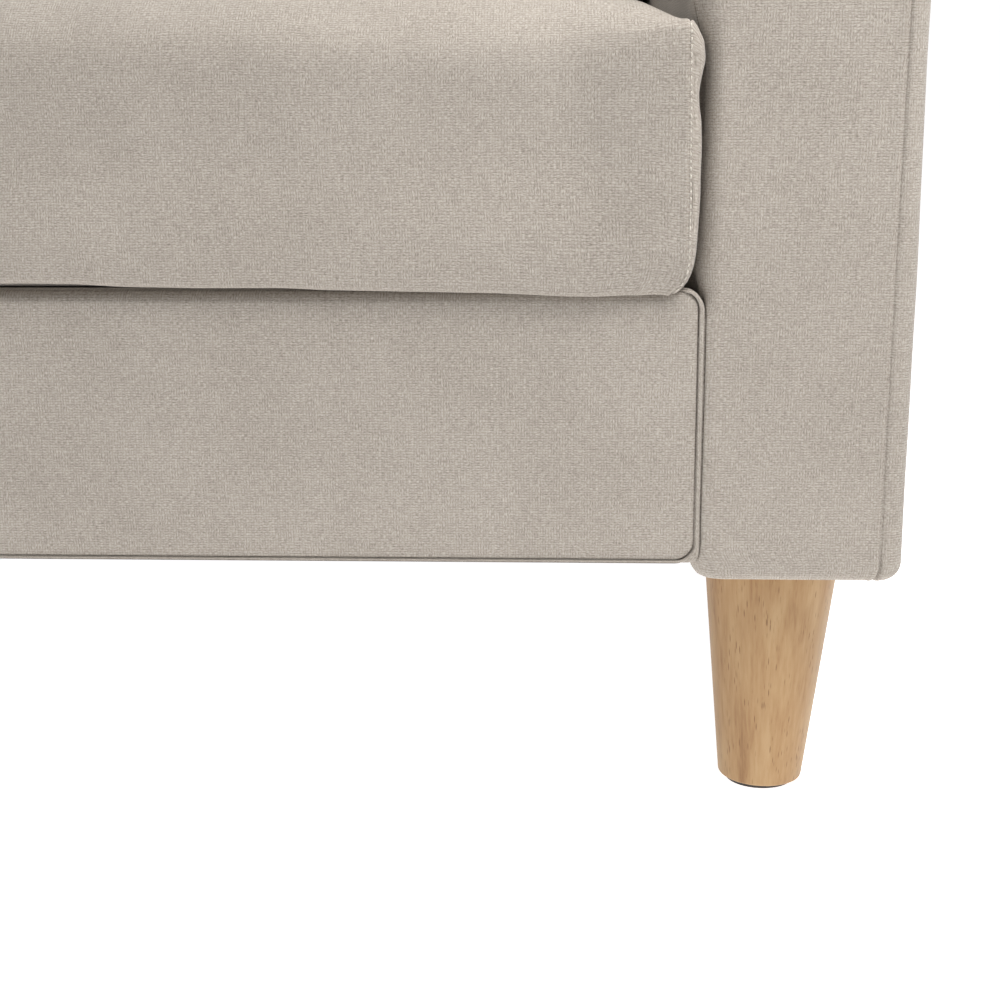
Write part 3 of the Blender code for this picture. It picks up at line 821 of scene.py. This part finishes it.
def deck_cover():
    """The padded deck under the seat cushions, with a seam where the front strip joins the lining."""
    across = np.concatenate([[0.0], graded(1.218, 3 * MM, 14 * MM), [1.0]])
    along = np.concatenate([[0.0], graded(0.680, 3 * MM, 12 * MM), [1.0]])
    x = -DECK_HALF + 2 * DECK_HALF * across
    y = RAIL_FRONT + 19 * MM + (BACK_LOW.y - RAIL_FRONT - 20 * MM) * along
    y = np.sort(np.concatenate([y, DECK_SEAM + np.array([-2, -1, -0.5, 0, 0.5, 1, 2]) * MM]))
    grid_x, grid_y = np.meshgrid(x, y)
    unit_x, unit_y = (grid_x + DECK_HALF) / (2 * DECK_HALF), (grid_y - y[0]) / (y[-1] - y[0])
    hollow = -1.6 * MM * dome(unit_x, unit_y, 6.0) - 1.3 * MM * (1 - np.abs(2 * unit_x - 1) ** 40)
    top = np.stack([grid_x, grid_y, DECK_TOP + 0.2 * MM + hollow * 0.5], -1)
    skin = Skin()
    skin.add(top, top[..., :2], seam_push(grid_y - DECK_SEAM, 0.8 * MM))
    deck = skin.build("deck_cover", extra=lambda p, n: 0.25 * MM * unevenness(p, 8, 0.06, 0.3))
    thicken(deck, 12 * MM)
    finish_piece(deck, CLOTH, nodes=["deck_pad"])


BACK_HALF = BACK_HIGH.x - 0.2 * MM
BACK_DEPTH = 100 * MM
BACK_CORNER_RADIUS = 12 * MM
BACK_FOOT_RADIUS = 4 * MM
BACK_TOP_RADIUS = 14 * MM
BACK_HALF_STEPS = 4


def back_profile(low, high):
    """(height, inset) pairs: in under the lower edge, round it, up, and over the top edge."""
    angles = np.linspace(0, math.pi / 2, 9)
    heights = np.linspace(low + BACK_FOOT_RADIUS, high - BACK_TOP_RADIUS, 82)
    profile = [(low + 0.3 * MM, 18 * MM), (low, 9 * MM)]
    profile += [(low + BACK_FOOT_RADIUS * (1 - math.cos(a)), BACK_FOOT_RADIUS * (1 - math.sin(a)))
                for a in angles[::2]]
    profile += [(z, 0.0) for z in heights[1:-1]]
    return profile + [(high - BACK_TOP_RADIUS * (1 - math.sin(a)), BACK_TOP_RADIUS * (1 - math.cos(a)))
                      for a in angles]


def back_ring(height, inset, across, along):
    """One ring of the back's cover: its four sides, its points and the push of its two rear seams."""
    r = max(BACK_CORNER_RADIUS - 0.6 * inset, 2 * MM)
    half = BACK_HALF - inset + 1.4 * MM * smooth((height - ARM_HIGH.z + 8 * MM) / (16 * MM))
    sides = rounded_rectangle((-half, BACK_LOW.y + inset), (half, DEPTH_REAR - inset),
                              (r, r, r, r), across, along, [even_turn(2 * BACK_HALF_STEPS)] * 4)
    ring = loop_of(sides)
    distance = run_length(ring)
    start = len(sides[0]) + len(sides[1]) - 2
    seams = (start + BACK_HALF_STEPS + 1, start + len(sides[2]) - 2 - BACK_HALF_STEPS)
    push = sum(seam_push(distance - distance[seam], 1.0 * MM) for seam in seams)
    return sides, level(ring, height), push


def open_below(cover, height):
    """Takes away a cover's faces below a height, except at its rear."""
    bm = bmesh.new()
    bm.from_mesh(cover.data)
    hidden = [face for face in bm.faces if face.calc_center_median().z < height
              and face.calc_center_median().y < DEPTH_REAR - 20 * MM]
    bmesh.ops.delete(bm, geom=hidden, context="FACES")
    bm.to_mesh(cover.data)
    bm.free()


def back_cover():
    """The cover over the back: round its top, down the inside to the deck and down the rear to the rail."""
    low, high = PANEL_LOW.z, BACK_HIGH.z
    across = graded(2 * BACK_HALF - 2 * BACK_CORNER_RADIUS, 0.6 * MM, 11 * MM, 1.5)
    along = graded(BACK_DEPTH - 2 * BACK_CORNER_RADIUS, 2 * MM, 8 * MM, 1.5)
    rings = [back_ring(height, inset, across, along) for height, inset in back_profile(low, high)]
    wall = np.array([points for _, points, _ in rings])
    skin = Skin()
    skin.add(wall, wall_cloth(wall), np.array([push for _, _, push in rings]))
    sides = rings[-1][0]
    middle = 3.5 * MM * dome(*np.meshgrid(share(sides[0]), share(sides[1])), 4.0)
    cap = coons(*sides)
    skin.add(level(cap, high + middle), cap)

    def soften(points, away):
        rear = dome((points[:, 0] / BACK_HALF + 1) / 2, (points[:, 2] - low) / (high - low), 6)
        return 1.5 * MM * np.clip(away[:, 1], 0, 1) * rear + 0.5 * MM * unevenness(points, 21, 0.06, 0.35)

    cover = skin.build("back_cover", extra=soften)
    open_below(cover, BACK_LOW.z + 1 * MM)
    thicken(cover)
    finish_piece(cover, CLOTH, nodes=["back_front_pad", "back_top_pad", "back_rear_panel"])


def cambric_sheet(name, low, high, height, seed, mirror=False, sag=1.2 * MM, nodes=()):
    """Dust cloth stretched under the frame, a little loose between its staples."""
    nx, ny = (max(4, round(float(size) / 0.012)) for size in high - low)
    s, t = np.meshgrid(np.linspace(0, 1, nx + 1), np.linspace(0, 1, ny + 1))
    x, y = low[0] + s * (high[0] - low[0]), low[1] + t * (high[1] - low[1])
    loose = sag * dome(s, t, 4.0)
    flat = np.stack([x, y, np.full_like(x, height)], -1)
    ripple = 0.25 * MM * unevenness(flat, seed, 0.03, 0.12) * np.clip(dome(s, t, 8.0) * 4, 0, 1)
    flat[..., 2] += ripple - loose
    skin = Skin()
    skin.add(flat, flat[..., :2], flip=True)
    sheet = skin.build(name, mirror)
    thicken(sheet, 0.35 * MM)
    finish_piece(sheet, CAMBRIC, nodes=nodes)
    staples = staple_row(f"{name}_staples", low, high, height - 0.5 * MM, mirror)
    finish_piece(staples, STEEL)
    return sheet


def staple_row(name, low, high, height, mirror=False, spacing=0.055, inset=6 * MM):
    """Wire staples round the edge of a dust cloth."""
    crown, drop, wire = 9 * MM, 1.2 * MM, 0.55 * MM
    places = []
    for y in (low[1] + inset, high[1] - inset):
        places += [(x, y, 0) for x in np.arange(low[0] + 0.02, high[0] - 0.02, spacing)]
    for x in (low[0] + inset, high[0] - inset):
        places += [(x, y, 1) for y in np.arange(low[1] + 0.04, high[1] - 0.04, spacing)]
    tubes = []
    for x, y, turned in places:
        run = np.array([1.0 - turned, turned, 0.0])
        centre, down = np.array([x, y, height]), np.array([0.0, 0.0, drop])
        half = [centre + run * crown / 2 + down, centre + run * crown / 2, centre + run * (crown / 2 - wire)]
        path = half + [2 * centre - half[2], 2 * centre - half[1], centre - run * crown / 2 + down]
        tubes.append(capsule_tube(path, wire, np.cross(run, down)))
    return join_tubes(name, tubes, mirror)


def seat_underside():
    """Dust cloth stapled under the seat box."""
    box_low, box_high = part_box("dust_cover")
    low, high = np.array(box_low.xy) + 2 * MM, np.array(box_high.xy) - 2 * MM
    sheet = cambric_sheet("seat_dust_cloth", low, high, box_low.z + 0.4 * MM, 41, nodes=["dust_cover"])


# =====================================================================================
# Loose cushions
# =====================================================================================
CUSHION_STEP = 9 * MM
CLOTH_FRAMES = 20
CLOTH_SETTINGS = {
    "quality": 6, "mass": 0.25, "tension_stiffness": 12, "compression_stiffness": 12,
    "shear_stiffness": 5, "bending_stiffness": 2.5, "air_damping": 2.0, "use_pressure": True,
    "uniform_pressure_force": 4.0, "vertex_group_shrink": "seams", "shrink_max": 0.02,
}


def cushion_grids(low, high, radii):
    """A boxed cushion at rest, in its own axes: a wall of rings along the third axis, and its two ends."""
    size = np.array(high) - np.array(low)
    counts = [max(4, round(float(length) / CUSHION_STEP)) for length in size]
    across, along = (np.linspace(0, 1, count + 1)[1:-1] for count in counts[:2])
    sides = rounded_rectangle(low[:2], high[:2], radii, across, along, [even_turn(4)] * 4)
    levels = np.linspace(low[2], high[2], counts[2] + 1)
    wall = np.array([level(loop_of(sides), z) for z in levels])
    return wall, [level(coons(*sides), z) for z in (low[2], high[2])], [len(side) - 1 for side in sides]


def inflate(points, quads, seam, limits):
    """Cloth simulation of the closed cover under pressure; each point's movement is capped by limits."""
    thing = quad_mesh("cloth_run", points, quads, np.zeros((len(quads), 4, 2)))
    thing.vertex_groups.new(name="seams").add([int(k) for k in seam], 1.0, "REPLACE")
    run = thing.modifiers.new("cloth", "CLOTH")
    for setting, value in CLOTH_SETTINGS.items():
        setattr(run.settings, setting, value)
    run.settings.effector_weights.gravity = 0.0
    run.collision_settings.use_self_collision = False
    run.point_cache.frame_start = 1
    run.point_cache.frame_end = CLOTH_FRAMES
    scene = bpy.context.scene
    for number in range(1, CLOTH_FRAMES + 1):
        scene.frame_set(number)
    solved = thing.evaluated_get(bpy.context.evaluated_depsgraph_get())
    mesh = solved.to_mesh()
    after = np.zeros(len(points) * 3, np.float32)
    mesh.vertices.foreach_get("co", after)
    solved.to_mesh_clear()
    scene.frame_set(1)
    bpy.data.objects.remove(thing)
    return cap_movement(points, after.reshape(-1, 3).astype(float), limits)


def cap_movement(before, after, limits):
    """Moves no further than the limits, per axis and direction, easing towards them.

    Along the second axis the outward limit grows from the end seams, so the cover rises gently from them.
    """
    low, high = (np.broadcast_to(np.array(side), before.shape).copy() for side in zip(*limits))
    from_seam = np.minimum(before[:, 2] - before[:, 2].min(), before[:, 2].max() - before[:, 2])
    high[:, 1] *= 0.02 + 0.98 * (1 - np.exp(-from_seam / (22 * MM)))
    move = after - before
    cap = np.where(move > 0, high, low)
    return before + cap * np.tanh(move / cap)


def fine_steps(count):
    """Positions along a run of that many cells: close at both ends, then half a cell apart."""
    head = np.array([0.0, 0.07, 0.15, 0.25, 0.38, 0.55, 0.75, 1.0, 1.35, 1.7, 2.0])
    middle = np.arange(2.5, count - 2.25, 0.5)
    return np.concatenate([head, middle, count - head[::-1]])


def cubic(grid, at, axis, closed=False):
    """Values at fractional positions along one axis, on a smooth curve through the grid's own."""
    grid = np.moveaxis(grid, axis, 0)
    last = len(grid) - 1
    cell = np.clip(np.floor(at).astype(int), 0, last - 1)
    part = (at - cell).reshape(-1, *[1] * (grid.ndim - 1))
    if closed:
        before, after = grid[(cell - 1) % last], grid[(cell + 2) % last]
    else:
        before = np.where((cell > 0).reshape(part.shape), grid[np.maximum(cell - 1, 0)],
                          2 * grid[cell] - grid[cell + 1])
        after = np.where((cell + 2 <= last).reshape(part.shape), grid[np.minimum(cell + 2, last)],
                         2 * grid[cell + 1] - grid[cell])
    p0, p1 = grid[cell], grid[cell + 1]
    m0, m1 = (p1 - before) / 2, (after - p0) / 2
    value = ((2 * part ** 3 - 3 * part ** 2 + 1) * p0 + (part ** 3 - 2 * part ** 2 + part) * m0
             + (3 * part ** 2 - 2 * part ** 3) * p1 + (part ** 3 - part ** 2) * m1)
    return np.moveaxis(value, 0, axis)


def refine(wall, ends, counts):
    """The same cushion with closer points, above all beside its seams."""
    steps = [fine_steps(count) for count in counts]
    starts = np.cumsum([0] + counts)
    round_it = np.concatenate([start + step[:-1] for start, step in zip(starts, steps)] + [[starts[-1]]])
    fine_wall = cubic(cubic(wall, round_it, 1, closed=True), fine_steps(len(wall) - 1), 0)
    marks = np.cumsum([0] + [len(step) - 1 for step in steps])
    fine_ends = []
    for end, ring in zip(ends, (fine_wall[0], fine_wall[-1])):
        grid = cubic(cubic(end, steps[1], 0), steps[0], 1)
        edge = [ring[a:b + 1] for a, b in zip(marks[:-1], marks[1:])]
        now = [grid[0], grid[:, -1], grid[-1][::-1], grid[:, 0][::-1]]
        gap = [wanted - have for wanted, have in zip(edge, now)]
        grid = grid + coons(*gap, s=steps[0] / counts[0], t=steps[1] / counts[1])
        grid[0], grid[:, -1], grid[-1], grid[:, 0] = edge[0], edge[1], edge[2][::-1], edge[3][::-1]
        fine_ends.append(grid)
    return fine_wall, fine_ends, marks


def even_out(move, passes=5):
    """Averages the movement between neighbouring rings, so that only the broad folds stay."""
    for _ in range(passes):
        move[1:-1] = (move[:-2] + 2 * move[1:-1] + move[2:]) / 4
    return move


def simulate(low, high, radii, limits):
    """A cushion's fine grids after the simulation, and the same grids at rest for its cloth coordinates."""
    wall, ends, counts = cushion_grids(low, high, radii)
    skin = Skin()
    skin.add(wall, wall[..., :2])
    skin.add(ends[0], ends[0][..., :2], flip=True)
    skin.add(ends[1], ends[1][..., :2])
    points, _, quads, _ = skin.weld()
    index = skin.index
    ring = wall.shape[1]
    seam = np.unique(np.concatenate([index[:ring], index[wall.shape[0] * ring - ring:wall.shape[0] * ring]]))
    moved = inflate(points, quads, seam, limits)
    settled, start = [], 0
    for grid in (wall, *ends):
        count = grid.shape[0] * grid.shape[1]
        settled.append(moved[index[start:start + count]].reshape(grid.shape))
        start += count
    settled[0] = wall + even_out(settled[0] - wall)
    rest_wall, rest_ends, marks = refine(wall, ends, counts)
    fine_wall, fine_ends, _ = refine(settled[0], settled[1:], counts)
    return fine_wall, fine_ends, rest_wall, rest_ends, marks


def edge_distance(rest, low, high):
    """Distance of each point of a cushion's end from its nearest edge, at rest."""
    return np.minimum.reduce([rest[..., 0] - low[0], high[0] - rest[..., 0],
                              rest[..., 1] - low[1], high[1] - rest[..., 1]])


def cushion_skin(parts, low, high, turn):
    """Puts the fine grids into one skin, with a sewn groove along both end seams."""
    fine_wall, fine_ends, rest_wall, rest_ends, _ = parts
    skin = Skin()
    from_seam = np.minimum(rest_wall[..., 2] - low[2], high[2] - rest_wall[..., 2])
    round_it = run_length(rest_wall[0])
    cloth = np.stack([rest_wall[..., 2], np.broadcast_to(round_it[None, :], rest_wall.shape[:2])], -1)
    skin.add(turn(fine_wall), cloth, seam_push(from_seam, 0.5 * MM, 0.5 * MM, 0.3 * MM, 1.8 * MM))
    for grid, rest, flip in zip(fine_ends, rest_ends, (True, False)):
        away = edge_distance(rest, low, high)
        skin.add(turn(grid), rest[..., :2], seam_push(away, 0.5 * MM, 0.5 * MM, 0.2 * MM, 1.8 * MM), flip)
    return skin


# ---- Seat cushions ----
SEAT_RADII = (4 * MM, 10 * MM, 26 * MM, 24 * MM)
SEAT_LIMITS = ((7 * MM, 2 * MM), (0.4 * MM, 18 * MM), (2.2 * MM, 4.4 * MM))
SEAM_LINE = (  # height, place across, depth of the front corner seam (mm)
    (278.0, 598.0, -401.5), (281.0, 604.5, -403.0), (285.0, 608.0, -404.5), (290.0, 609.6, -405.8),
    (296.0, 610.3, -406.4), (330.0, 610.1, -406.6), (372.0, 609.7, -406.4), (400.0, 609.4, -406.0),
    (408.0, 609.2, -404.5), (412.5, 608.8, -400.0),
)
GUSSET_BULGE = (  # height, how far the side panel swells past the seam (mm)
    (278.0, 1.5), (285.0, 2.3), (292.0, 3.0), (305.0, 3.8), (330.0, 5.0), (350.0, 5.6), (365.0, 5.2),
    (372.0, 4.2), (378.0, 4.3), (384.0, 5.4), (393.0, 7.6), (402.0, 6.6), (408.0, 3.6), (413.0, 0.6),
)
LOWER_EDGE = (  # place across, height of the front's lower edge as seen from the front (mm)
    (2.0, 283.0), (60.0, 284.0), (150.0, 284.4), (275.0, 285.5), (302.0, 285.1), (325.0, 283.7),
    (365.0, 283.0), (406.0, 283.1), (430.0, 282.0), (467.0, 281.3), (515.0, 280.4), (550.0, 278.8),
    (564.0, 278.6), (580.0, 279.4), (598.0, 278.6), (606.0, 279.6),
)
EDGE_SLOPE = 0.125
CROWN_BASE = 415.0 * MM
FRONT_SEAM_TOP = 410.5 * MM
FRONT_SEAM_FOOT = 280.0 * MM
SIDE_SEAM_TOP = 411.0 * MM
CORNER_REACH = 70 * MM
LIP_TOP = 350 * MM
LIP_FADE = 55 * MM
LIP_OUT = 5.6 * MM


def shape_front_corner(parts):
    """Sets the corner next to the arm: the seam turns onto the front and the side panel swells past it."""
    wall, ends, rest_wall, rest_ends, marks = parts
    ring = wall[-1]
    move = np.zeros_like(ring)
    first, last = marks[3], marks[4]
    front = slice(first, last + 1)
    heights = FRONT_SEAM_TOP + share(ring[front]) * (FRONT_SEAM_FOOT - FRONT_SEAM_TOP)
    seam = [table(SEAM_LINE, heights, 2), heights, table(SEAM_LINE, heights, 1)]
    move[front] = np.stack(seam, -1) - ring[front]
    length = run_length(rest_wall[-1])
    outside = np.ones(len(ring), bool)
    outside[front] = False
    for start, sign in ((first, -1), (last, 1)):
        away = np.mod(sign * (length - length[start]), length[-1])
        move[outside] += (smooth(1 - away / CORNER_REACH)[:, None] * move[start])[outside]
    move[:, 1] = np.minimum(move[:, 1], SIDE_SEAM_TOP - ring[:, 1])
    move[-1] = move[0] = move[last]
    from_seam = rest_wall[-1, 0, 2] - rest_wall[:, :, 2]
    fades = [smooth(1 - from_seam / width) for width in (60 * MM, 22 * MM, 60 * MM)]
    wall += np.stack(fades, -1) * move[None]
    end, rest = ends[1], rest_ends[1]
    edges = [move[a:b + 1] for a, b in zip(marks[:-1], marks[1:])]
    end += coons(*edges, s=share(rest[0]), t=share(rest[:, 0]))
    from_front = rest[..., 0] - rest[:, :1, 0]
    inside = smooth(edge_distance(rest, rest_wall[0].min(0), rest_wall[0].max(0)) / (6 * MM))
    lobe = np.sin(np.pi * np.clip(from_front / (15 * MM), 0, 1)) ** 0.8
    end[..., 2] += table(GUSSET_BULGE, end[..., 1]) * lobe * smooth(inside * 2)
    return parts


def straighten_lip(parts):
    """The lower part of the front hangs nearly upright to a sharp lip that stands out over the rail."""
    wall, ends, rest_wall, rest_ends, marks = parts

    def straight(now, rest):
        lip = smooth((LIP_TOP - rest[..., 1]) / LIP_FADE) * smooth((-0.36 - rest[..., 0]) / 0.02)
        return now + lip[..., None] * (rest - now - np.array([LIP_OUT, 0.0, 0.0]))

    ends = [straight(end, rest) for end, rest in zip(ends, rest_ends)]
    return straight(wall, rest_wall), ends, rest_wall, rest_ends, marks


def lower_edge_shift(wall):
    """How far each section's front lower edge must move to follow its line, by place across."""
    seen = wall[..., 2] + EDGE_SLOPE * (wall[..., 1] + 405 * MM)
    seen = np.where(wall[..., 1] < -380 * MM, seen, 1.0).min(1)
    across = wall[:, 0, 0]
    shift = (table(LOWER_EDGE, across) - seen) * smooth((0.603 - across) / 0.02)
    return across, shift


def shape_lower_edge(points, across, shift):
    """The front's lower edge droops over the rail, a little more in some places than others."""
    low = smooth((320 * MM - points[..., 2]) / (34 * MM))
    forward = smooth((-386 * MM - points[..., 1]) / (11 * MM))
    points[..., 2] += np.interp(points[..., 0], across, shift) * low * forward
    return points


def seat_axes(points):
    """(depth, height, across) as points in the frame."""
    return np.stack([points[..., 2], points[..., 0], points[..., 1]], -1)


def seat_cushions():
    """Both seat cushions: a panel wrapped over the top, front and bottom, and a panel at each side."""
    box_low, box_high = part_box("seat_cushion_right")
    low = np.array([box_low.y - 1.5 * MM, box_low.z + 0.3 * MM, box_low.x + 1.2 * MM])
    high = np.array([box_high.y - 2 * MM, CROWN_BASE, box_high.x - 1.2 * MM])
    parts = straighten_lip(simulate(low, high, SEAT_RADII, SEAT_LIMITS))
    parts = shape_front_corner(parts)
    across, shift = lower_edge_shift(seat_axes(parts[0]))

    def turn(points):
        return shape_lower_edge(seat_axes(points), across, shift)

    for name, side in SIDES:
        skin = cushion_skin(parts, low, high, turn)

        def soften(points, away, side=side):
            loose = smooth((points[:, 2] - 0.283) / 0.02)
            return loose * (0.55 * MM * unevenness(points, 61 + side, 0.035, 0.16)
                            + 0.9 * MM * unevenness(points, 71 + side, 0.15, 0.5))

        cushion = skin.build(f"seat_cushion_{name}_cover", side < 0, soften)
        finish_piece(cushion, CLOTH, f"loose_seat_cushion_{name}", [f"seat_cushion_{name}"])
        wall, _, _, _, marks = parts
        line = turn(wall[-1][marks[3]:marks[4] + 1].copy())
        away = np.array([0.35 * side, -0.94, 0.0])
        line += np.array([0.35, -0.94, 0.0]) * soften(line, None)[:, None]
        line[:, 0] *= side
        row = stitches(f"seat_cushion_{name}_stitches", line, away)
        finish_piece(row, THREAD_LOOK, f"loose_seat_cushion_{name}")


# ---- Back cushions ----
BACK_RADII = (26 * MM, 26 * MM, 34 * MM, 34 * MM)
BACK_LIMITS = ((1.6 * MM, 1.6 * MM), (0.6 * MM, 5 * MM), (4.5 * MM, 23 * MM))


def back_cushions():
    """Both back cushions: front and rear panels joined by a boxing strip."""
    box_low, box_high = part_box("back_cushion_right")
    low = np.array([box_low.x + 2 * MM, box_low.z + 1 * MM, -(box_high.y - 6 * MM)])
    high = np.array([box_high.x - 2 * MM, box_high.z - 4 * MM, -(box_low.y + 24 * MM)])
    parts = simulate(low, high, BACK_RADII, BACK_LIMITS)

    for name, side in SIDES:
        skin = cushion_skin(parts, low, high, turn_to_front)

        def soften(points, away, side=side):
            loose = smooth((points[:, 2] - 0.436) / 0.03) * smooth((0.285 - points[:, 1]) / 0.02)
            return loose * (0.6 * MM * unevenness(points, 81 + side, 0.04, 0.18)
                            + 1.3 * MM * unevenness(points, 91 + side, 0.15, 0.5))

        cushion = skin.build(f"back_cushion_{name}_cover", side < 0, soften)
        finish_piece(cushion, CLOTH, f"loose_back_cushion_{name}", [f"back_cushion_{name}"])


# =====================================================================================
# Legs
# =====================================================================================
LEG_STEPS = 120
LEG_EASE = 1.6 * MM


def leg_profile(foot_radius, head_radius, length):
    """(radius, height) pairs of a tapered leg with softly broken edges, from its foot to its head."""
    profile = [(0.0, 0.0), (foot_radius * 0.5, 0.0)]
    for a in np.linspace(0, math.pi / 2, 5):
        profile.append((foot_radius - LEG_EASE * (1 - math.sin(a)), LEG_EASE * (1 - math.cos(a))))
    for t in np.linspace(0, 1, 14)[1:-1]:
        radius = foot_radius + (head_radius - foot_radius) * t
        profile.append((radius, LEG_EASE + (length - 2 * LEG_EASE) * t))
    for a in np.linspace(0, math.pi / 2, 4):
        profile.append((head_radius - LEG_EASE * (1 - math.cos(a)), length - LEG_EASE * (1 - math.sin(a))))
    return profile + [(head_radius * 0.5, length), (0.0, length)]


def leg_piece(place):
    """A turned leg along the CAD leg's own leaning axis."""
    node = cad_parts[f"leg_{place}"]
    points = np.array([vertex.co for vertex in node.data.vertices])
    low, high = points[:, 2].min(), points[:, 2].max()
    foot, head = (points[np.abs(points[:, 2] - z) < 3 * MM] for z in (low, high))
    bottom, top = (Vector((*(end.min(0) + end.max(0))[:2] / 2, z)) for end, z in ((foot, low), (head, high)))
    axis = (top - bottom).normalized()
    foot_radius, head_radius = ((end[:, 1].max() - end[:, 1].min()) / 2 for end in (foot, head))
    profile = leg_profile(foot_radius, head_radius, (top - bottom).length)
    turn = axis.to_track_quat("Z", "Y").to_matrix().to_4x4()
    bm = bmesh.new()
    line = [bm.verts.new((radius, 0.0, height)) for radius, height in profile]
    edges = [bm.edges.new(pair) for pair in zip(line, line[1:])]
    bmesh.ops.spin(bm, geom=line + edges, cent=(0, 0, 0), axis=(0, 0, 1), angle=2 * math.pi,
                   steps=LEG_STEPS, use_merge=True)
    bmesh.ops.remove_doubles(bm, verts=bm.verts, dist=1e-6)
    bmesh.ops.recalc_face_normals(bm, faces=bm.faces)
    bm.transform(Matrix.Translation(bottom) @ turn)
    mesh = bpy.data.meshes.new(f"leg_{place}_turned")
    bm.to_mesh(mesh)
    bm.free()
    finish_piece(link_mesh(mesh), LEG_WOOD, nodes=[f"leg_{place}"])


# =====================================================================================
# Carried-over nodes, light and camera
# =====================================================================================
def dress_nodes():
    """Gives every CAD node that still shows its material."""
    looks = (("glide", GLIDE), ("bolt", STEEL), ("web", WEBBING), ("", FRAME_WOOD))
    for name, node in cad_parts.items():
        if node.hide_render:
            continue
        material = next(look for word, look in looks if word in name)
        node.data.materials.clear()
        node.data.materials.append(material)


FLOOR_GLOW = 0.97
WARM_LIGHT = (1.0, 0.985, 0.965)
CAMERA_PLACE = Vector((0.558, -1.254, 0.3876))
CAMERA_LEFT = math.radians(2.82)
CAMERA_DOWN = math.radians(14.12)
CAMERA_ROLL = math.radians(0.37)
CAMERA_LENS = 61.2


def make_floor():
    bm = bmesh.new()
    bmesh.ops.create_grid(bm, x_segments=8, y_segments=8, size=14.0)
    mesh = bpy.data.meshes.new("studio_floor")
    bm.to_mesh(mesh)
    bm.free()
    mesh.materials.append(floor_material())
    link_mesh(mesh)


def area_light(name, place, target, size, power, colour=(1.0, 1.0, 1.0)):
    light = bpy.data.lights.new(name, "AREA")
    light.size = size
    light.energy = power
    light.color = colour
    lamp = bpy.data.objects.new(name, light)
    lamp.location = place
    lamp.rotation_mode = "QUATERNION"
    lamp.rotation_quaternion = (Vector(target) - Vector(place)).to_track_quat("-Z", "Y")
    bpy.context.scene.collection.objects.link(lamp)


def make_light():
    """A white sky that is dimmer overhead, and softboxes overhead, above the right arm and at the back."""
    world = bpy.data.worlds.new("studio")
    bpy.context.scene.world = world
    world.use_nodes = True
    tree = world.node_tree
    direction = tree.nodes.new("ShaderNodeTexCoord").outputs["Generated"]
    parts = tree.nodes.new("ShaderNodeSeparateXYZ")
    tree.links.new(direction, parts.inputs[0])
    up = tree.nodes.new("ShaderNodeMapRange")
    tree.links.new(parts.outputs[2], up.inputs[0])
    for index, value in enumerate((0.06, 0.22, 1.02, 0.10), start=1):
        up.inputs[index].default_value = value
    background = tree.nodes["Background"]
    background.inputs[0].default_value = (1.0, 0.998, 1.0, 1.0)
    tree.links.new(up.outputs[0], background.inputs[1])
    corner = (0.60, -0.40, 0.33)
    area_light("top_softbox", (0.5, -0.8, 2.2), corner, 1.0, 8.0, WARM_LIGHT)
    area_light("near_softbox", (0.95, -0.75, 1.25), corner, 0.5, 14.2, WARM_LIGHT)
    area_light("back_softbox", (-0.5, 0.25, 1.5), (0.6, -0.25, 0.45), 0.8, 9.0)


def make_camera():
    data = bpy.data.cameras.new("camera")
    data.lens = CAMERA_LENS
    data.sensor_width = 36.0
    data.clip_start = 0.01
    sin_left, cos_left = math.sin(CAMERA_LEFT), math.cos(CAMERA_LEFT)
    sin_down, cos_down = math.sin(CAMERA_DOWN), math.cos(CAMERA_DOWN)
    ahead = Vector((-sin_left * cos_down, cos_left * cos_down, -sin_down))
    across = Vector((cos_left, sin_left, 0.0))
    below = ahead.cross(across)
    right = across * math.cos(CAMERA_ROLL) + below * math.sin(CAMERA_ROLL)
    down = below * math.cos(CAMERA_ROLL) - across * math.sin(CAMERA_ROLL)
    matrix = Matrix((right, -down, -ahead)).transposed().to_4x4()
    matrix.translation = CAMERA_PLACE
    camera = bpy.data.objects.new("camera", data)
    camera.matrix_world = matrix
    bpy.context.scene.collection.objects.link(camera)
    bpy.context.scene.camera = camera
    bpy.context.scene.view_settings.view_transform = "Standard"


CLOTH = weave_material("beige_weave", (0.215, 0.188, 0.16), (0.37, 0.333, 0.292), (0.53, 0.49, 0.44))
THREAD_LOOK = thread_material()
RUBBERWOOD_TONES = ((0.275, 0.152, 0.070), (0.375, 0.230, 0.112), (0.425, 0.278, 0.143), (0.46, 0.314, 0.172))
PINE_TONES = ((0.42, 0.28, 0.15), (0.55, 0.39, 0.23), (0.62, 0.46, 0.28), (0.66, 0.51, 0.33))
LEG_WOOD = wood_material("rubberwood", RUBBERWOOD_TONES, (0.15, 0.07, 0.03))
FRAME_WOOD = wood_material("frame_pine", PINE_TONES, (0.28, 0.16, 0.08), grain_axis=0, gloss=0.7)
STEEL = steel_material()
WEBBING = webbing_material()
CAMBRIC = cambric_material()
GLIDE = plastic_material()

make_camera()
for side_name, side_sign in SIDES:
    arm_cover(f"{side_name}_arm", side_sign)
    arm_board(f"{side_name}_arm", side_sign)
    arm_underside(f"{side_name}_arm", side_sign)
rail_cover()
deck_cover()
back_cover()
seat_underside()
seat_cushions()
back_cushions()
for corner in ("front_left", "front_right", "rear_left", "rear_right"):
    leg_piece(corner)
dress_nodes()
make_floor()
make_light()
